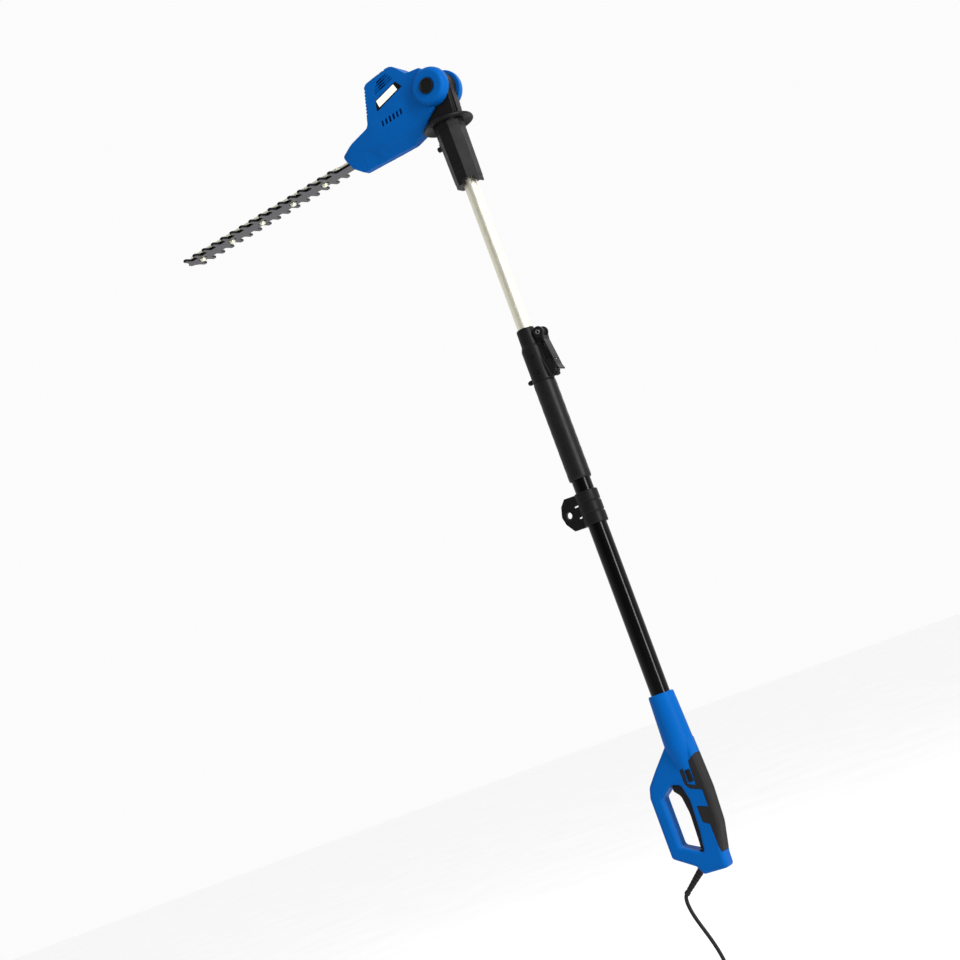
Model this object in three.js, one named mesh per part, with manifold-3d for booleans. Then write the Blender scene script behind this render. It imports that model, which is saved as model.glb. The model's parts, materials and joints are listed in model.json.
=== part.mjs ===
// Pole hedge trimmer, corded and telescopic, in millimetres.
// The pole stands along +Z with the cutting head on top and the blade towards -X.
// The origin is the centre of the front foam grip. "near" is the -Y side, "far" the +Y side.
import * as THREE from "three";
import { mergeVertices } from "three/addons/utils/BufferGeometryUtils.js";
import Module from "manifold-3d";

const wasm = await Module();
wasm.setup();

// Driving dimensions.
const GAP = 0.3; // between pieces that touch
const TUBE_R = 17.5; // lower tube
const TUBE_WALL = 1.8;
const UPPER_R = 13; // upper, telescoping tube
const UPPER_WALL = 1.3;
const PIVOT_X = 4.6; // head pivot, along Y
const PIVOT_Z = 684;
const FOAM_HALF = 95;
const COUPLER_FOOT = 497;
const SLEEVE_TOP = -502;
const SLEEVE_FOOT = -606;
const HANDLE_FOOT = -818;
const UPPER_TUBE_FOOT = -250;
const UPPER_TUBE_TOP = 598;
const LOWER_TUBE_TOP = 146;
const LOWER_TUBE_FOOT = -604;

const TOOTH_PITCH = 26.25;
const TEETH = 16;
const FIRST_TOOTH = -261.3; // from the pivot, along X
const TOOTH_REACH = 33.3; // half the blade's width over its teeth
const SPINE_HALF = 15;
const STROKE = 6.5; // of each blade, either way
const BLADE_T = 2.5;
const BLADE_Z = -43.45; // where the two blades meet, from the pivot
const BOLT_PITCH = 84;
const FIRST_BOLT = -298;

const GEAR_MODULE = 1.5;
const GEAR_TEETH = 30;
const PINION_TEETH = 10;
const MOTOR_X = -92;
const GEAR_X = MOTOR_X - (GEAR_MODULE * (GEAR_TEETH + PINION_TEETH)) / 2;
const GEAR_Z = [-37, -29.5];
const AXLE_TOP = -14;

const PUCK_R = 39; // blue discs either side of the knuckle
const PUCK_FACE = 38;
const KNUCKLE_R = 31;
const KNUCKLE_HALF = 18;
const CAP_R = 15.5;

const TRIGGER_PIVOT = [-23.5, -775];
const CORD_R = 3.5;

const root = new THREE.Group();
const head = new THREE.Group();
head.position.z = PIVOT_Z;
root.add(head);

// Materials.
const paint = (color, roughness, metalness = 0) =>
  new THREE.MeshStandardMaterial({ color, roughness, metalness });
const blue = paint(0x0a5a9c, 0.45);
const black = paint(0x1d1c1e, 0.55);
const softBlack = paint(0x2c2b2d, 0.8);
const foam = paint(0x18171a, 0.95);
const steel = paint(0x77777a, 0.35, 0.9);
const brightSteel = paint(0xc9c6b8, 0.3, 0.9);
const aluminium = paint(0xcfcdc4, 0.35, 0.9);
const blackTube = paint(0x0b0a0c, 0.2);
const brass = paint(0xb8934a, 0.35, 0.9);
const nylon = paint(0xd8d6cc, 0.6);

// Solids.
function solid(geometry) {
  const bare = geometry.index ? geometry.toNonIndexed() : geometry.clone();
  for (const name of Object.keys(bare.attributes)) {
    if (name !== "position") bare.deleteAttribute(name);
  }
  const merged = mergeVertices(bare, 1e-4);
  return new wasm.Manifold(
    new wasm.Mesh({
      numProp: 3,
      vertProperties: merged.attributes.position.array,
      triVerts: new Uint32Array(merged.index.array),
    }),
  );
}

function geometryOf(made) {
  const mesh = made.getMesh();
  const geometry = new THREE.BufferGeometry();
  geometry.setAttribute("position", new THREE.BufferAttribute(mesh.vertProperties, 3));
  geometry.setIndex(new THREE.BufferAttribute(mesh.triVerts, 1));
  const flat = geometry.toNonIndexed();
  flat.computeVertexNormals();
  return flat;
}

const join = (...solids) => solids.reduce((all, one) => all.add(one));
const cut = (body, ...tools) => tools.reduce((left, tool) => left.subtract(tool), body);
const common = (...solids) => solids.reduce((all, one) => all.intersect(one));

function put(name, made, material, group = root) {
  const mesh = new THREE.Mesh(geometryOf(made), material);
  mesh.name = name;
  group.add(mesh);
}

function box([x0, x1], [y0, y1], [z0, z1]) {
  const geometry = new THREE.BoxGeometry(x1 - x0, y1 - y0, z1 - z0);
  geometry.translate((x0 + x1) / 2, (y0 + y1) / 2, (z0 + z1) / 2);
  return solid(geometry);
}

// An outline of corners [a, b, radius], its corners rounded by arcs.
function outline(corners, arcSteps = 3) {
  const points = [];
  corners.forEach(([a, b, radius = 0], i) => {
    const here = new THREE.Vector2(a, b);
    const before = new THREE.Vector2(...corners.at(i - 1).slice(0, 2)).sub(here);
    const after = new THREE.Vector2(...corners[(i + 1) % corners.length].slice(0, 2)).sub(here);
    const turn = Math.acos(before.clone().normalize().dot(after.clone().normalize()));
    if (radius === 0 || turn > Math.PI - 0.02) {
      points.push(here);
      return;
    }
    const back = Math.min(radius / Math.tan(turn / 2), 0.49 * before.length(), 0.49 * after.length());
    const start = here.clone().add(before.setLength(back));
    const end = here.clone().add(after.setLength(back));
    const curve = new THREE.QuadraticBezierCurve(start, here, end);
    points.push(...curve.getPoints(arcSteps));
  });
  return points;
}

// Prisms of an outline: in XZ along Y, in XY along Z, and in YZ along X.
function alongY(points, [y0, y1], bevel = 0, holes = []) {
  const shape = new THREE.Shape(points);
  shape.holes = holes.map((hole) => new THREE.Path(hole));
  const geometry = new THREE.ExtrudeGeometry(shape, {
    depth: y1 - y0 - 2 * bevel,
    bevelEnabled: bevel > 0,
    bevelThickness: bevel,
    bevelSize: bevel,
    bevelOffset: -bevel,
    bevelSegments: 1,
  });
  geometry.rotateX(Math.PI / 2);
  geometry.translate(0, y1 - bevel, 0);
  return solid(geometry);
}

function alongZ(points, [z0, z1]) {
  const shape = new THREE.Shape(points);
  const geometry = new THREE.ExtrudeGeometry(shape, { depth: z1 - z0, bevelEnabled: false });
  geometry.translate(0, 0, z0);
  return solid(geometry);
}

function alongX(points, [x0, x1]) {
  const shape = new THREE.Shape(points);
  const geometry = new THREE.ExtrudeGeometry(shape, { depth: x1 - x0, bevelEnabled: false });
  geometry.rotateX(Math.PI / 2);
  geometry.rotateZ(Math.PI / 2);
  geometry.translate(x0, 0, 0);
  return solid(geometry);
}

// A solid turned about Z from a profile [radius, z] that starts and ends on the axis.
function turned(profile, segments = 20) {
  const points = profile.map(([r, z]) => new THREE.Vector2(r, z));
  const geometry = new THREE.LatheGeometry(points, segments);
  geometry.rotateX(Math.PI / 2);
  const made = solid(geometry);
  return made.volume() > 0 ? made : solid(flipped(geometry));
}

function flipped(geometry) {
  const bare = geometry.toNonIndexed();
  const p = bare.attributes.position.array;
  for (let i = 0; i < p.length; i += 9) {
    for (let k = 0; k < 3; k += 1) {
      [p[i + 3 + k], p[i + 6 + k]] = [p[i + 6 + k], p[i + 3 + k]];
    }
  }
  return bare;
}

function disc(r, [z0, z1], segments = 20, r1 = r) {
  return turned([[0, z0], [r, z0], [r1, z1], [0, z1]], segments);
}

// An upright eight-sided bar, its flats at the given distance from the axis.
function octagon(flat, span) {
  const r = flat / Math.cos(Math.PI / 8);
  const corners = Array.from({ length: 8 }, (_, i) => {
    const a = ((i + 0.5) * Math.PI) / 4;
    return [r * Math.cos(a), r * Math.sin(a), 3];
  });
  return alongZ(outline(corners, 2), span);
}

// A round rod along an axis, through the point [a, b] of the plane across it.
function rodY(r, [y0, y1], [x, z], segments = 12) {
  return disc(r, [y0, y1], segments).rotate([-90, 0, 0]).translate([x, 0, z]);
}

function rodX(r, [x0, x1], [y, z], segments = 12) {
  return disc(r, [x0, x1], segments).rotate([0, 90, 0]).translate([0, y, z]);
}

function rodZ(r, span, [x, y], segments = 12) {
  return disc(r, span, segments).translate([x, y, 0]);
}

const NEAR = [-200, -GAP / 2];
const FAR = [GAP / 2, 200];
const half = (made, side) => common(made, box([-900, 900], side, [-1500, 1500]));

// Two casing halves, split along Y = 0.
function putHalves(name, made, material, group = root) {
  put(name + "_near", half(made, NEAR), material, group);
  put(name + "_far", half(made, FAR), material, group);
}

// A countersunk casing screw that enters from the far side.
const SCREW_R = 2;
const SCREW_HEAD_R = 3.6;
function screwAt(name, [x, z], [y0, y1], material, group = root) {
  const shank = rodY(SCREW_R, [y0, y1 - 1], [x, z], 8);
  const top = rodY(SCREW_HEAD_R, [y1 - 2.4, y1], [x, z], 12);
  const recess = box([x - 0.6, x + 0.6], [y1 - 1.2, y1 + 1], [z - 2.2, z + 2.2]);
  put(name, cut(join(shank, top), recess), material, group);
}
function screwRoom([x, z], [y0, y1]) {
  const shank = rodY(SCREW_R + GAP, [y0 - GAP, y1], [x, z], 8);
  const top = rodY(SCREW_HEAD_R + GAP, [y1 - 2.4 - GAP, y1 + 20], [x, z], 12);
  return join(shank, top);
}

// Rear handle: a sleeve on the tube, and a D-loop with a trigger.
const GRIP_HALF = 17;
const LOOP_OUTLINE = outline([
  [-22, -600],
  [-56, -622, 24],
  [-80, -648, 24],
  [-86, -668, 6],
  [-86, -778, 6],
  [-46, -802, 6],
  [-37, HANDLE_FOOT, 6],
  [12, HANDLE_FOOT, 7],
  [13, -794, 12],
  [25.5, -742, 60],
  [29, -680, 90],
  [27, -600],
]);
const FINGER_HOLE = outline([
  [-63, -674, 5],
  [-37, -656, 7],
  [-19, -661, 9],
  [-12, -690, 30],
  [-15, -745, 60],
  [-21, -782, 5],
  [-63, -762, 9],
]);
const OVERMOULD_EDGE = outline([
  [38, -608],
  [12.5, -625.5, 2],
  [10.4, -669, 1],
  [-4.4, -662, 1],
  [-2, -634.5, 1],
  [-10, -636.5, 2],
  [-9.6, -662, 10],
  [-2, -671, 6],
  [19, -678.5, 1],
  [18.3, -709.5, 1],
  [-2.4, -702.5, 2],
  [-2, -732, 4],
  [9.6, -737.6, 4],
  [11, -789],
  [60, -789],
  [60, -608],
], 2);
const GRIP_CORE = outline([
  [-13, -600],
  [24, -600],
  [26, -680, 90],
  [22.5, -742, 60],
  [9, -796],
  [-13, -796],
]);
const LOCK_X = [0, 9];
const LOCK_Z = [-660, -639];
const HANDLE_SCREWS = [[-58, -642], [-75, -718], [-58, -780], [-6, -806], [-18, -620]];
const HANDLE_SCREW_SPAN = [-6, 13.5];

function handleBody() {
  const sleeve = turned([
    [0, SLEEVE_FOOT],
    [27, SLEEVE_FOOT],
    [26.8, -590],
    [23.4, SLEEVE_TOP + 2],
    [22.4, SLEEVE_TOP],
    [0, SLEEVE_TOP],
  ], 32);
  const loop = alongY(LOOP_OUTLINE, [-GRIP_HALF, GRIP_HALF], 4, [FINGER_HOLE]);
  return join(sleeve, loop);
}

const triggerRoom = () =>
  alongY(outline([
    [-42, -652],
    [-6, -652],
    [-2.5, -690],
    [-7, -735],
    [-16, -784],
    [-32, -784],
    [-30, -762],
    [-27, -715],
    [-31, -680],
    [-42, -670],
  ]), [-11, 11]);

const lockRoom = () =>
  box(
    [LOCK_X[0] - GAP, LOCK_X[1] + GAP],
    [-40, -9],
    [LOCK_Z[0] - GAP, LOCK_Z[1] + GAP],
  );

function handleRoom() {
  const tube = rodZ(TUBE_R + GAP, [LOWER_TUBE_FOOT - GAP, 0], [0, 0], 24);
  const wiring = box([-12, 12], [-9, 9], [-650, -590]);
  const switchRoom = box([-2, 18], [-9, 9], [-712, -636]);
  const lower = box([-14, 6], [-9, 9], [-812, -700]);
  const cordWay = box([-34, -10], [-5, 5], [-807, -798]);
  const pin = rodY(2 + GAP, [-14 - GAP, 14 + GAP], TRIGGER_PIVOT, 16);
  return join(tube, wiring, switchRoom, lower, cordWay, pin, triggerRoom(), lockRoom());
}

function addHandle() {
  const body = handleBody();
  const edge = alongY(OVERMOULD_EDGE, [-60, 60]);
  const core = alongY(GRIP_CORE, [-GRIP_HALF + 2.5, GRIP_HALF - 2.5]);
  const coreRoom = alongY(GRIP_CORE, [-GRIP_HALF + 2.2, GRIP_HALF - 2.2]).translate([GAP, 0, 0]);
  const skin = cut(common(body, edge), join(coreRoom, core), lockRoom());
  put("rear_grip_overmould", skin, softBlack);
  const shifts = [[-GAP, 0], [GAP, 0], [0, -GAP], [0, GAP]];
  const notches = shifts.map(([dx, dz]) => cut(edge.translate([dx, 0, dz]), core));
  const glandRoom = glandSolid(GAP);
  const screws = HANDLE_SCREWS.map((at) => screwRoom(at, HANDLE_SCREW_SPAN));
  const shells = cut(body, ...notches, handleRoom(), glandRoom, ...screws);
  putHalves("rear_handle_shell", shells, blue);
  HANDLE_SCREWS.forEach((at, i) => {
    screwAt("handle_screw_" + (i + 1), at, HANDLE_SCREW_SPAN, steel);
  });
}

function addTrigger() {
  const paddle = alongY(outline([
    [-38.5, -657.5, 3],
    [-18, -661, 5],
    [-11, -690, 24],
    [-13, -735, 60],
    [-18.5, -780, 4],
    [-28, -780, 4],
    [-26, -762, 20],
    [-23.5, -712, 60],
    [-28, -679, 16],
    [-38.5, -668, 3],
  ]), [-10.5, 10.5], 1.5);
  const bore = rodY(2 + GAP, [-20, 20], TRIGGER_PIVOT, 16);
  put("trigger", cut(paddle, bore), black);
  put("trigger_pin", rodY(2, [-14, 14], TRIGGER_PIVOT, 16), steel);
  const push = box([LOCK_X[0], LOCK_X[1]], [-18.6, -11.5], LOCK_Z);
  const flange = box([LOCK_X[0], LOCK_X[1]], [-12, -9.6], [LOCK_Z[0], LOCK_Z[1]]);
  put("lock_off_button", join(push, flange), black);
  const body = box([0, 16], [-8, 8], [-700, -668]);
  const tabs = box([4, 12], [-8, 8], [-708, -664]);
  put("switch_body", join(body, tabs), black);
}

// Strain relief and the short lead with its plug.
const GLAND_START = [-36, -803];
const GLAND_END = [-90, -844];
const glandLength = Math.hypot(GLAND_END[0] - GLAND_START[0], GLAND_END[1] - GLAND_START[1]);
const glandAngle = Math.atan2(GLAND_END[0] - GLAND_START[0], GLAND_END[1] - GLAND_START[1]);

function glandSolid(grow = 0) {
  const collar = 9.5 + grow;
  const made = turned([
    [0, -6 - grow],
    [collar, -6 - grow],
    [collar, -1 + grow],
    [7 + grow, -1 + grow],
    [7 + grow, 10],
    [4.6 + grow, glandLength - 4],
    [5.2 + grow, glandLength - 3],
    [5.2 + grow, glandLength],
    [0, glandLength],
  ], 20);
  return made
    .rotate([0, THREE.MathUtils.radToDeg(glandAngle), 0])
    .translate([GLAND_START[0], 0, GLAND_START[1]]);
}

const CORD_ROUTE = [
  [-90.7, -844.6],
  [-92.8, -847.2],
  [-94.4, -852],
  [-94.8, -860],
  [-93.8, -870],
  [-90.5, -885],
  [-84, -904],
  [-77, -923],
  [-71, -942],
  [-66.5, -962],
  [-63.5, -984],
  [-61.8, -1008],
  [-61, -1034],
  [-60.6, -1062],
  [-60.5, -1090],
  [-60.5, -1112],
];

function roundSection(r, sides) {
  const shape = new THREE.Shape();
  for (let i = 0; i < sides; i += 1) {
    const a = (2 * Math.PI * i) / sides;
    if (i === 0) shape.moveTo(r, 0);
    else shape.lineTo(r * Math.cos(a), r * Math.sin(a));
  }
  shape.closePath();
  return shape;
}

function addCord() {
  put("cord_gland", glandSolid(), softBlack);
  const clampPlate = box([-12, 4], [-7, 7], [-782, -779]);
  put("cord_clamp", clampPlate, nylon);
  const points = CORD_ROUTE.map(([x, z]) => new THREE.Vector3(x, 0, z));
  const route = new THREE.CatmullRomCurve3(points);
  const tube = new THREE.ExtrudeGeometry(roundSection(CORD_R, 10), {
    steps: 24,
    extrudePath: route,
    bevelEnabled: false,
  });
  put("power_cord", solid(tube), softBlack);
  const [plugX, plugZ] = CORD_ROUTE.at(-1);
  const shell = turned([
    [0, -52],
    [16.5, -52],
    [17.5, -49],
    [17.5, -34],
    [12, -20],
    [6.5, -10],
    [5.5, 0],
    [0, 0],
  ], 20).translate([plugX, 0, plugZ - GAP]);
  const pins = [-9.5, 9.5].map((y) => rodZ(2.3, [-68, -50], [plugX, y], 12).translate([0, 0, plugZ]));
  put("mains_plug", join(shell, ...pins), softBlack);
}

// Pole: two tubes, the foam grip and the strap bracket.
function pipe(r, wall, [z0, z1], segments = 24) {
  return cut(disc(r, [z0, z1], segments), disc(r - wall, [z0 - 1, z1 + 1], segments));
}

function addPole() {
  put("lower_tube", pipe(TUBE_R, TUBE_WALL, [LOWER_TUBE_FOOT, LOWER_TUBE_TOP]), blackTube);
  put("upper_tube", pipe(UPPER_R, UPPER_WALL, [UPPER_TUBE_FOOT, UPPER_TUBE_TOP]), aluminium);
  const bore = TUBE_R - TUBE_WALL - GAP;
  const guide = pipe(bore, bore - UPPER_R - GAP, [UPPER_TUBE_FOOT + 2, UPPER_TUBE_FOOT + 42]);
  put("tube_guide_bush", guide, nylon);
  const grip = turned([
    [TUBE_R + GAP, -FOAM_HALF],
    [20, -FOAM_HALF],
    [21, -FOAM_HALF + 3],
    [21, FOAM_HALF - 3],
    [20, FOAM_HALF],
    [TUBE_R + GAP, FOAM_HALF],
    [TUBE_R + GAP, -FOAM_HALF],
  ], 24);
  put("front_foam_grip", grip, foam);
  const lead = rodZ(8, [-596, 588], [0, 0], 8);
  put("internal_coiled_lead", lead, softBlack);
}

const STRAP_TOP = -120.5;
const STRAP_FOOT = -180;
const STRAP_EYE = [-46, -148];
function addStrapBracket() {
  const r = 21.8;
  const bands = [[STRAP_FOOT, -165], [-157, -143], [-135, STRAP_TOP]];
  const core = disc(r - 1.6, [STRAP_FOOT + 1, STRAP_TOP - 1], 24);
  const rings = bands.map((span) => disc(r, span, 24));
  const plate = alongY(outline([
    [-16, STRAP_TOP],
    [-45, STRAP_TOP + 2, 3],
    [-56, -128, 3],
    [-61.5, -146, 3],
    [-58, -161, 3],
    [-46, STRAP_FOOT + 2, 3],
    [-16, STRAP_FOOT],
  ]), [-3.2, 3.2]);
  const eye = rodY(6, [-10, 10], STRAP_EYE, 16);
  const slots = [[-26.5, -138], [-24.5, -159.5]].map(([x, z]) =>
    box([x - 5.5, x + 5.5], [-10, 10], [z - 1.5, z + 1.5]),
  );
  const bore = disc(TUBE_R + GAP, [STRAP_FOOT - 5, STRAP_TOP + 5], 24);
  const screwHole = rodY(2.5 + GAP, [10, 40], [0, -150], 12);
  const made = cut(join(core, ...rings, plate), bore, eye, ...slots, screwHole);
  put("strap_bracket", made, black);
  const shank = rodY(2.5, [TUBE_R + GAP + 0.2, 23], [0, -150], 12);
  const top = rodY(4.5, [r + GAP + 0.5, 26], [0, -150], 16);
  put("strap_bracket_screw", join(shank, top), steel);
}

// Telescopic clamp: a split collar closed by a cam lever.
const CLAMP_TOP = 198;
const CLAMP_STEP = 159;
const CLAMP_PIN = [28, 180.5];
const CLAMP_SCREWS = [[2.5, 142.5], [2.5, 112]];
const CHEEK_R = 10.5;
function addClamp() {
  const foot = FOAM_HALF + GAP;
  const collar = turned([
    [0, foot],
    [20.6, foot],
    [20.6, CLAMP_STEP],
    [17.4, CLAMP_STEP + 8],
    [17, CLAMP_TOP - 3],
    [15.8, CLAMP_TOP],
    [0, CLAMP_TOP],
  ]);
  const lug = join(
    rodY(8.5, [-6, 6], CLAMP_PIN, 20),
    alongY(outline([[8, 171], [28, 172], [28, 189], [8, 193]]), [-6, 6]),
  );
  const block = alongY(outline([
    [8, 164],
    [27.5, 163, 4],
    [33, 136, 12],
    [34, 104, 3],
    [29.5, 98, 3],
    [8, 98],
  ]), [-10.5, 10.5]);
  const catchNose = alongY(outline([[26, 101.4], [35.5, 101.4, 3], [33, 95.6, 3], [26, 95.6]]), [-6, 6]);
  const hollows = [[-12, -7.5], [7.5, 12]].map((span) => box([21, 40], span, [129, 159]));
  const upperBore = disc(UPPER_R + GAP, [foot - 5, CLAMP_TOP + 5]);
  const lowerBore = disc(TUBE_R + GAP, [foot - 5, LOWER_TUBE_TOP + GAP]);
  const split = box([0, 60], [-0.6, 0.6], [foot - 5, CLAMP_TOP + 5]);
  const pinHole = rodY(2.5 + GAP, [-20, 20], CLAMP_PIN, 16);
  const recesses = CLAMP_SCREWS.map((at) => rodY(4.2, [-30, -18.1], at, 16));
  const made = cut(
    join(collar, lug, cut(block, ...hollows), catchNose),
    upperBore,
    lowerBore,
    split,
    pinHole,
    ...recesses,
  );
  put("clamp_collar", made, black);
  CLAMP_SCREWS.forEach((at, i) => {
    const capScrew = rodY(3.6, [-20.3, -18.4], at, 16);
    const socket = rodY(1.8, [-22, -19.2], at, 6);
    put("clamp_screw_" + (i + 1), cut(capScrew, socket), steel);
  });
  const pinHeads = [[-13, -11.8], [11.8, 13]].map((span) => rodY(4.6, span, CLAMP_PIN, 20));
  put("clamp_pin", join(rodY(2.5, [-12, 12], CLAMP_PIN, 16), ...pinHeads), brightSteel);
  const plate = alongY(outline([
    [36, 175],
    [34.6, 164, 6],
    [38.6, 134, 20],
    [41, 112, 14],
    [44, 103.5, 1],
    [41.5, 102.2, 1],
    [38, 110, 12],
    [35.4, 134, 20],
    [31.2, 163, 6],
    [26, 176],
  ]), [-11.5, 11.5]);
  const cheeks = rodY(CHEEK_R, [-11.5, 11.5], CLAMP_PIN, 24);
  const lugRoom = rodY(CHEEK_R + 1, [-6.5, 6.5], CLAMP_PIN, 20);
  const lever = cut(join(plate, cheeks), lugRoom, pinHole);
  put("clamp_lever", lever, black);
  const nub = join(rodX(4.6, [-29, -21.2], [0, 103], 16), rodX(3.4, [-31, -28], [0, 103], 16));
  put("clamp_side_screw", nub, black);
}

// Coupler between the pole and the head.
const FLANGE_R = 48.5;
const FLANGE_Z = PIVOT_Z - 70;
const TILT_BUTTON_Z = 578;
const COUPLER_SCREWS = [[12, 646], [-12, 646], [18, 560]];
const COUPLER_SCREW_SPAN = [-8, 13];
const NECK = [
  [-27, FLANGE_Z + 2],
  [27, FLANGE_Z + 2],
  [PIVOT_X + 27, PIVOT_Z - 14],
  [PIVOT_X - 27, PIVOT_Z - 14],
];
const NECK_RIB = [
  [20, FLANGE_Z + 4],
  [32, FLANGE_Z + 6],
  [PIVOT_X + 30, PIVOT_Z - 8],
  [20, PIVOT_Z - 8],
];
function addCoupler() {
  const knuckle = rodY(KNUCKLE_R, [-KNUCKLE_HALF, KNUCKLE_HALF], [PIVOT_X, PIVOT_Z], 32);
  const neck = alongY(outline(NECK), [-KNUCKLE_HALF, KNUCKLE_HALF]);
  const rib = alongY(outline(NECK_RIB), [-7, 7]);
  const flange = turned([
    [0, FLANGE_Z - 6],
    [30, FLANGE_Z - 6],
    [31, FLANGE_Z + 4],
    [FLANGE_R - 2, FLANGE_Z - 4],
    [FLANGE_R, FLANGE_Z - 4],
    [FLANGE_R, FLANGE_Z],
    [FLANGE_R - 2, FLANGE_Z + 1.5],
    [34, FLANGE_Z + 7],
    [27, FLANGE_Z + 12],
    [0, FLANGE_Z + 12],
  ], 32);
  const cone = turned([
    [0, COUPLER_FOOT],
    [27, COUPLER_FOOT],
    [29, FLANGE_Z - 5],
    [0, FLANGE_Z - 5],
  ], 24);
  const grip = common(cone, octagon(26, [COUPLER_FOOT, FLANGE_Z - 5]));
  const legs = cut(
    octagon(25, [COUPLER_FOOT - 8, COUPLER_FOOT + 2]),
    box([-2, 20], [-60, 60], [COUPLER_FOOT - 20, COUPLER_FOOT]),
  );
  const bore = disc(UPPER_R + GAP, [0, UPPER_TUBE_TOP + GAP]);
  const wireWay = disc(6, [UPPER_TUBE_TOP - 5, PIVOT_Z - KNUCKLE_R + 8], 16);
  const boltHole = rodY(6 + GAP, [-40, 40], [PIVOT_X, PIVOT_Z]);
  const buttonRoom = box([-60, -15], [-7.4, 7.4], [TILT_BUTTON_Z - 7.4, TILT_BUTTON_Z + 7.4]);
  const screws = COUPLER_SCREWS.map((at) => screwRoom(at, COUPLER_SCREW_SPAN));
  const made = cut(
    join(knuckle, neck, rib, flange, grip, legs),
    bore,
    wireWay,
    boltHole,
    buttonRoom,
    ...screws,
  );
  putHalves("coupler_shell", made, black);
  COUPLER_SCREWS.forEach((at, i) => {
    screwAt("coupler_screw_" + (i + 1), at, COUPLER_SCREW_SPAN, steel);
  });
  const [low, high] = [TILT_BUTTON_Z - 7, TILT_BUTTON_Z + 7];
  const stem = box([-30, -19.5], [-7, 7], [low, high]);
  const nub = rodX(5, [-38.5, -29], [0, TILT_BUTTON_Z], 16);
  const button = join(stem, nub);
  put("tilt_release_button", button, black);
}

// Cutting head. Heights and lengths are from the pivot.
const HEAD_SIDE = outline([
  [-226, -27, 6],
  [-196, -14, 20],
  [-148, -4, 14],
  [-128, 74, 14],
  [-62, 82, 26],
  [-35, 49, 6],
  [-4, 44],
  [-4, -38],
  [-43, -62, 8],
  [-78, -76, 10],
  [-200, -71, 8],
  [-216, -56, 4],
]);
const HEAD_PLAN = outline([
  [-240, -18],
  [-206, -24, 20],
  [-140, -28.5, 30],
  [-20, -28.5, 20],
  [0, -24],
  [0, 24],
  [-20, 28.5, 20],
  [-140, 28.5, 30],
  [-206, 24, 20],
  [-240, 18],
]);
const SIDE_EDGE = [28.8, -14]; // the upper side walls lean in from here to SIDE_TOP
const SIDE_TOP = [23, 86];
const KEEL_HALF = 5;
const HEAD_SECTION = outline([
  [-SIDE_TOP[0], SIDE_TOP[1], 16],
  [-SIDE_EDGE[0], SIDE_EDGE[1]],
  [-28.6, -24],
  [-26.3, -48],
  [-KEEL_HALF, -79, 3],
  [KEEL_HALF, -79, 3],
  [26.3, -48],
  [28.6, -24],
  [SIDE_EDGE[0], SIDE_EDGE[1]],
  [SIDE_TOP[0], SIDE_TOP[1], 16],
]);
const SIDE_LEAN = THREE.MathUtils.radToDeg(
  Math.atan2(SIDE_EDGE[0] - SIDE_TOP[0], SIDE_TOP[1] - SIDE_EDGE[1]),
);
const HEAD_SCREWS = [[-212, -34], [-148, -22], [-60, 62], [-62, -58]];
const HEAD_SCREW_SPAN = [-8, 17];
const PLATE_Z = [-27.5, -22.5];
const MOTOR_R = 22;
const MOTOR_TOP = 46;

function headRoom() {
  const motor = rodZ(MOTOR_R + 1.5, [-22.5, 68], [MOTOR_X, 0], 20);
  const gears = box([-203, -62], [-24.3, 24.3], [PLATE_Z[0] - 2, PLATE_Z[1] + 0.4]);
  const gearRoom = box([-176, -58], [-24.3, 24.3], [-39, PLATE_Z[0]]);
  const lowRoom = box([-176, -58], [-20.7, 20.7], [-51, -38]);
  const nose = box([-206, -170], [-20, 20], [-51, PLATE_Z[0]]);
  const mouth = box([-260, -200], [-16.5, 16.5], [-48, -35]);
  const axle = rodZ(4 + 2 * GAP, [-24, AXLE_TOP + GAP], [GEAR_X, 0], 16);
  return join(motor, gears, gearRoom, lowRoom, nose, mouth, axle);
}

function puck(side) {
  const step = [
    [0, KNUCKLE_HALF + GAP],
    [PUCK_R, KNUCKLE_HALF + GAP],
    [PUCK_R, PUCK_FACE - 11],
    [PUCK_R - 1.5, PUCK_FACE - 6],
    [PUCK_R - 5, PUCK_FACE - 2],
    [PUCK_R - 10, PUCK_FACE],
    [0, PUCK_FACE],
  ];
  return turned(step, 32).rotate([side < 0 ? 90 : -90, 0, 0]).translate([PIVOT_X, 0, 0]);
}

// A prism of an outline on the leaning side wall; its depths are measured outwards from the wall.
function onSide(points, [d0, d1], side) {
  const raised = points.map((p) => new THREE.Vector2(p.x, p.y - SIDE_EDGE[1]));
  const depths = side < 0 ? [-d1, -d0] : [d0, d1];
  return alongY(raised, depths)
    .rotate([side * SIDE_LEAN, 0, 0])
    .translate([0, side * SIDE_EDGE[0], SIDE_EDGE[1]]);
}

const SIDES = [-1, 1];
const GROOVES = [
  [[-103, 64], [-76, 69.5]],
  [[-109, 57.4], [-73, 65.2]],
  [[-112, 51.4], [-69, 60.4]],
  [[-114, 46], [-66.5, 55.6]],
];
const VENTS = 6;
const VENT_PITCH = 8.95;
function headCuts() {
  const cuts = [];
  for (const side of SIDES) {
    const reach = side < 0 ? [-40, -21] : [21, 40];
    for (let i = 0; i < VENTS; i += 1) {
      const x = -115 + VENT_PITCH * i;
      const z = -13.8 + 0.3 * i;
      const slit = outline([[x - 2.4, z - 5], [x + 1.8, z - 5], [x + 2.4, z + 5], [x - 1.8, z + 5]]);
      cuts.push(alongY(slit, reach));
    }
    for (const [[x0, z0], [x1, z1]] of GROOVES) {
      const groove = outline([[x0, z0 - 1.2], [x1, z1 - 1.2], [x1 + 1, z1 + 1.2], [x0 + 1, z0 + 1.2]]);
      cuts.push(onSide(groove, [-1.6, 9], side));
    }
    cuts.push(onSide(PLATE_ROOM, [-0.9, 9], side));
  }
  return cuts;
}

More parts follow.
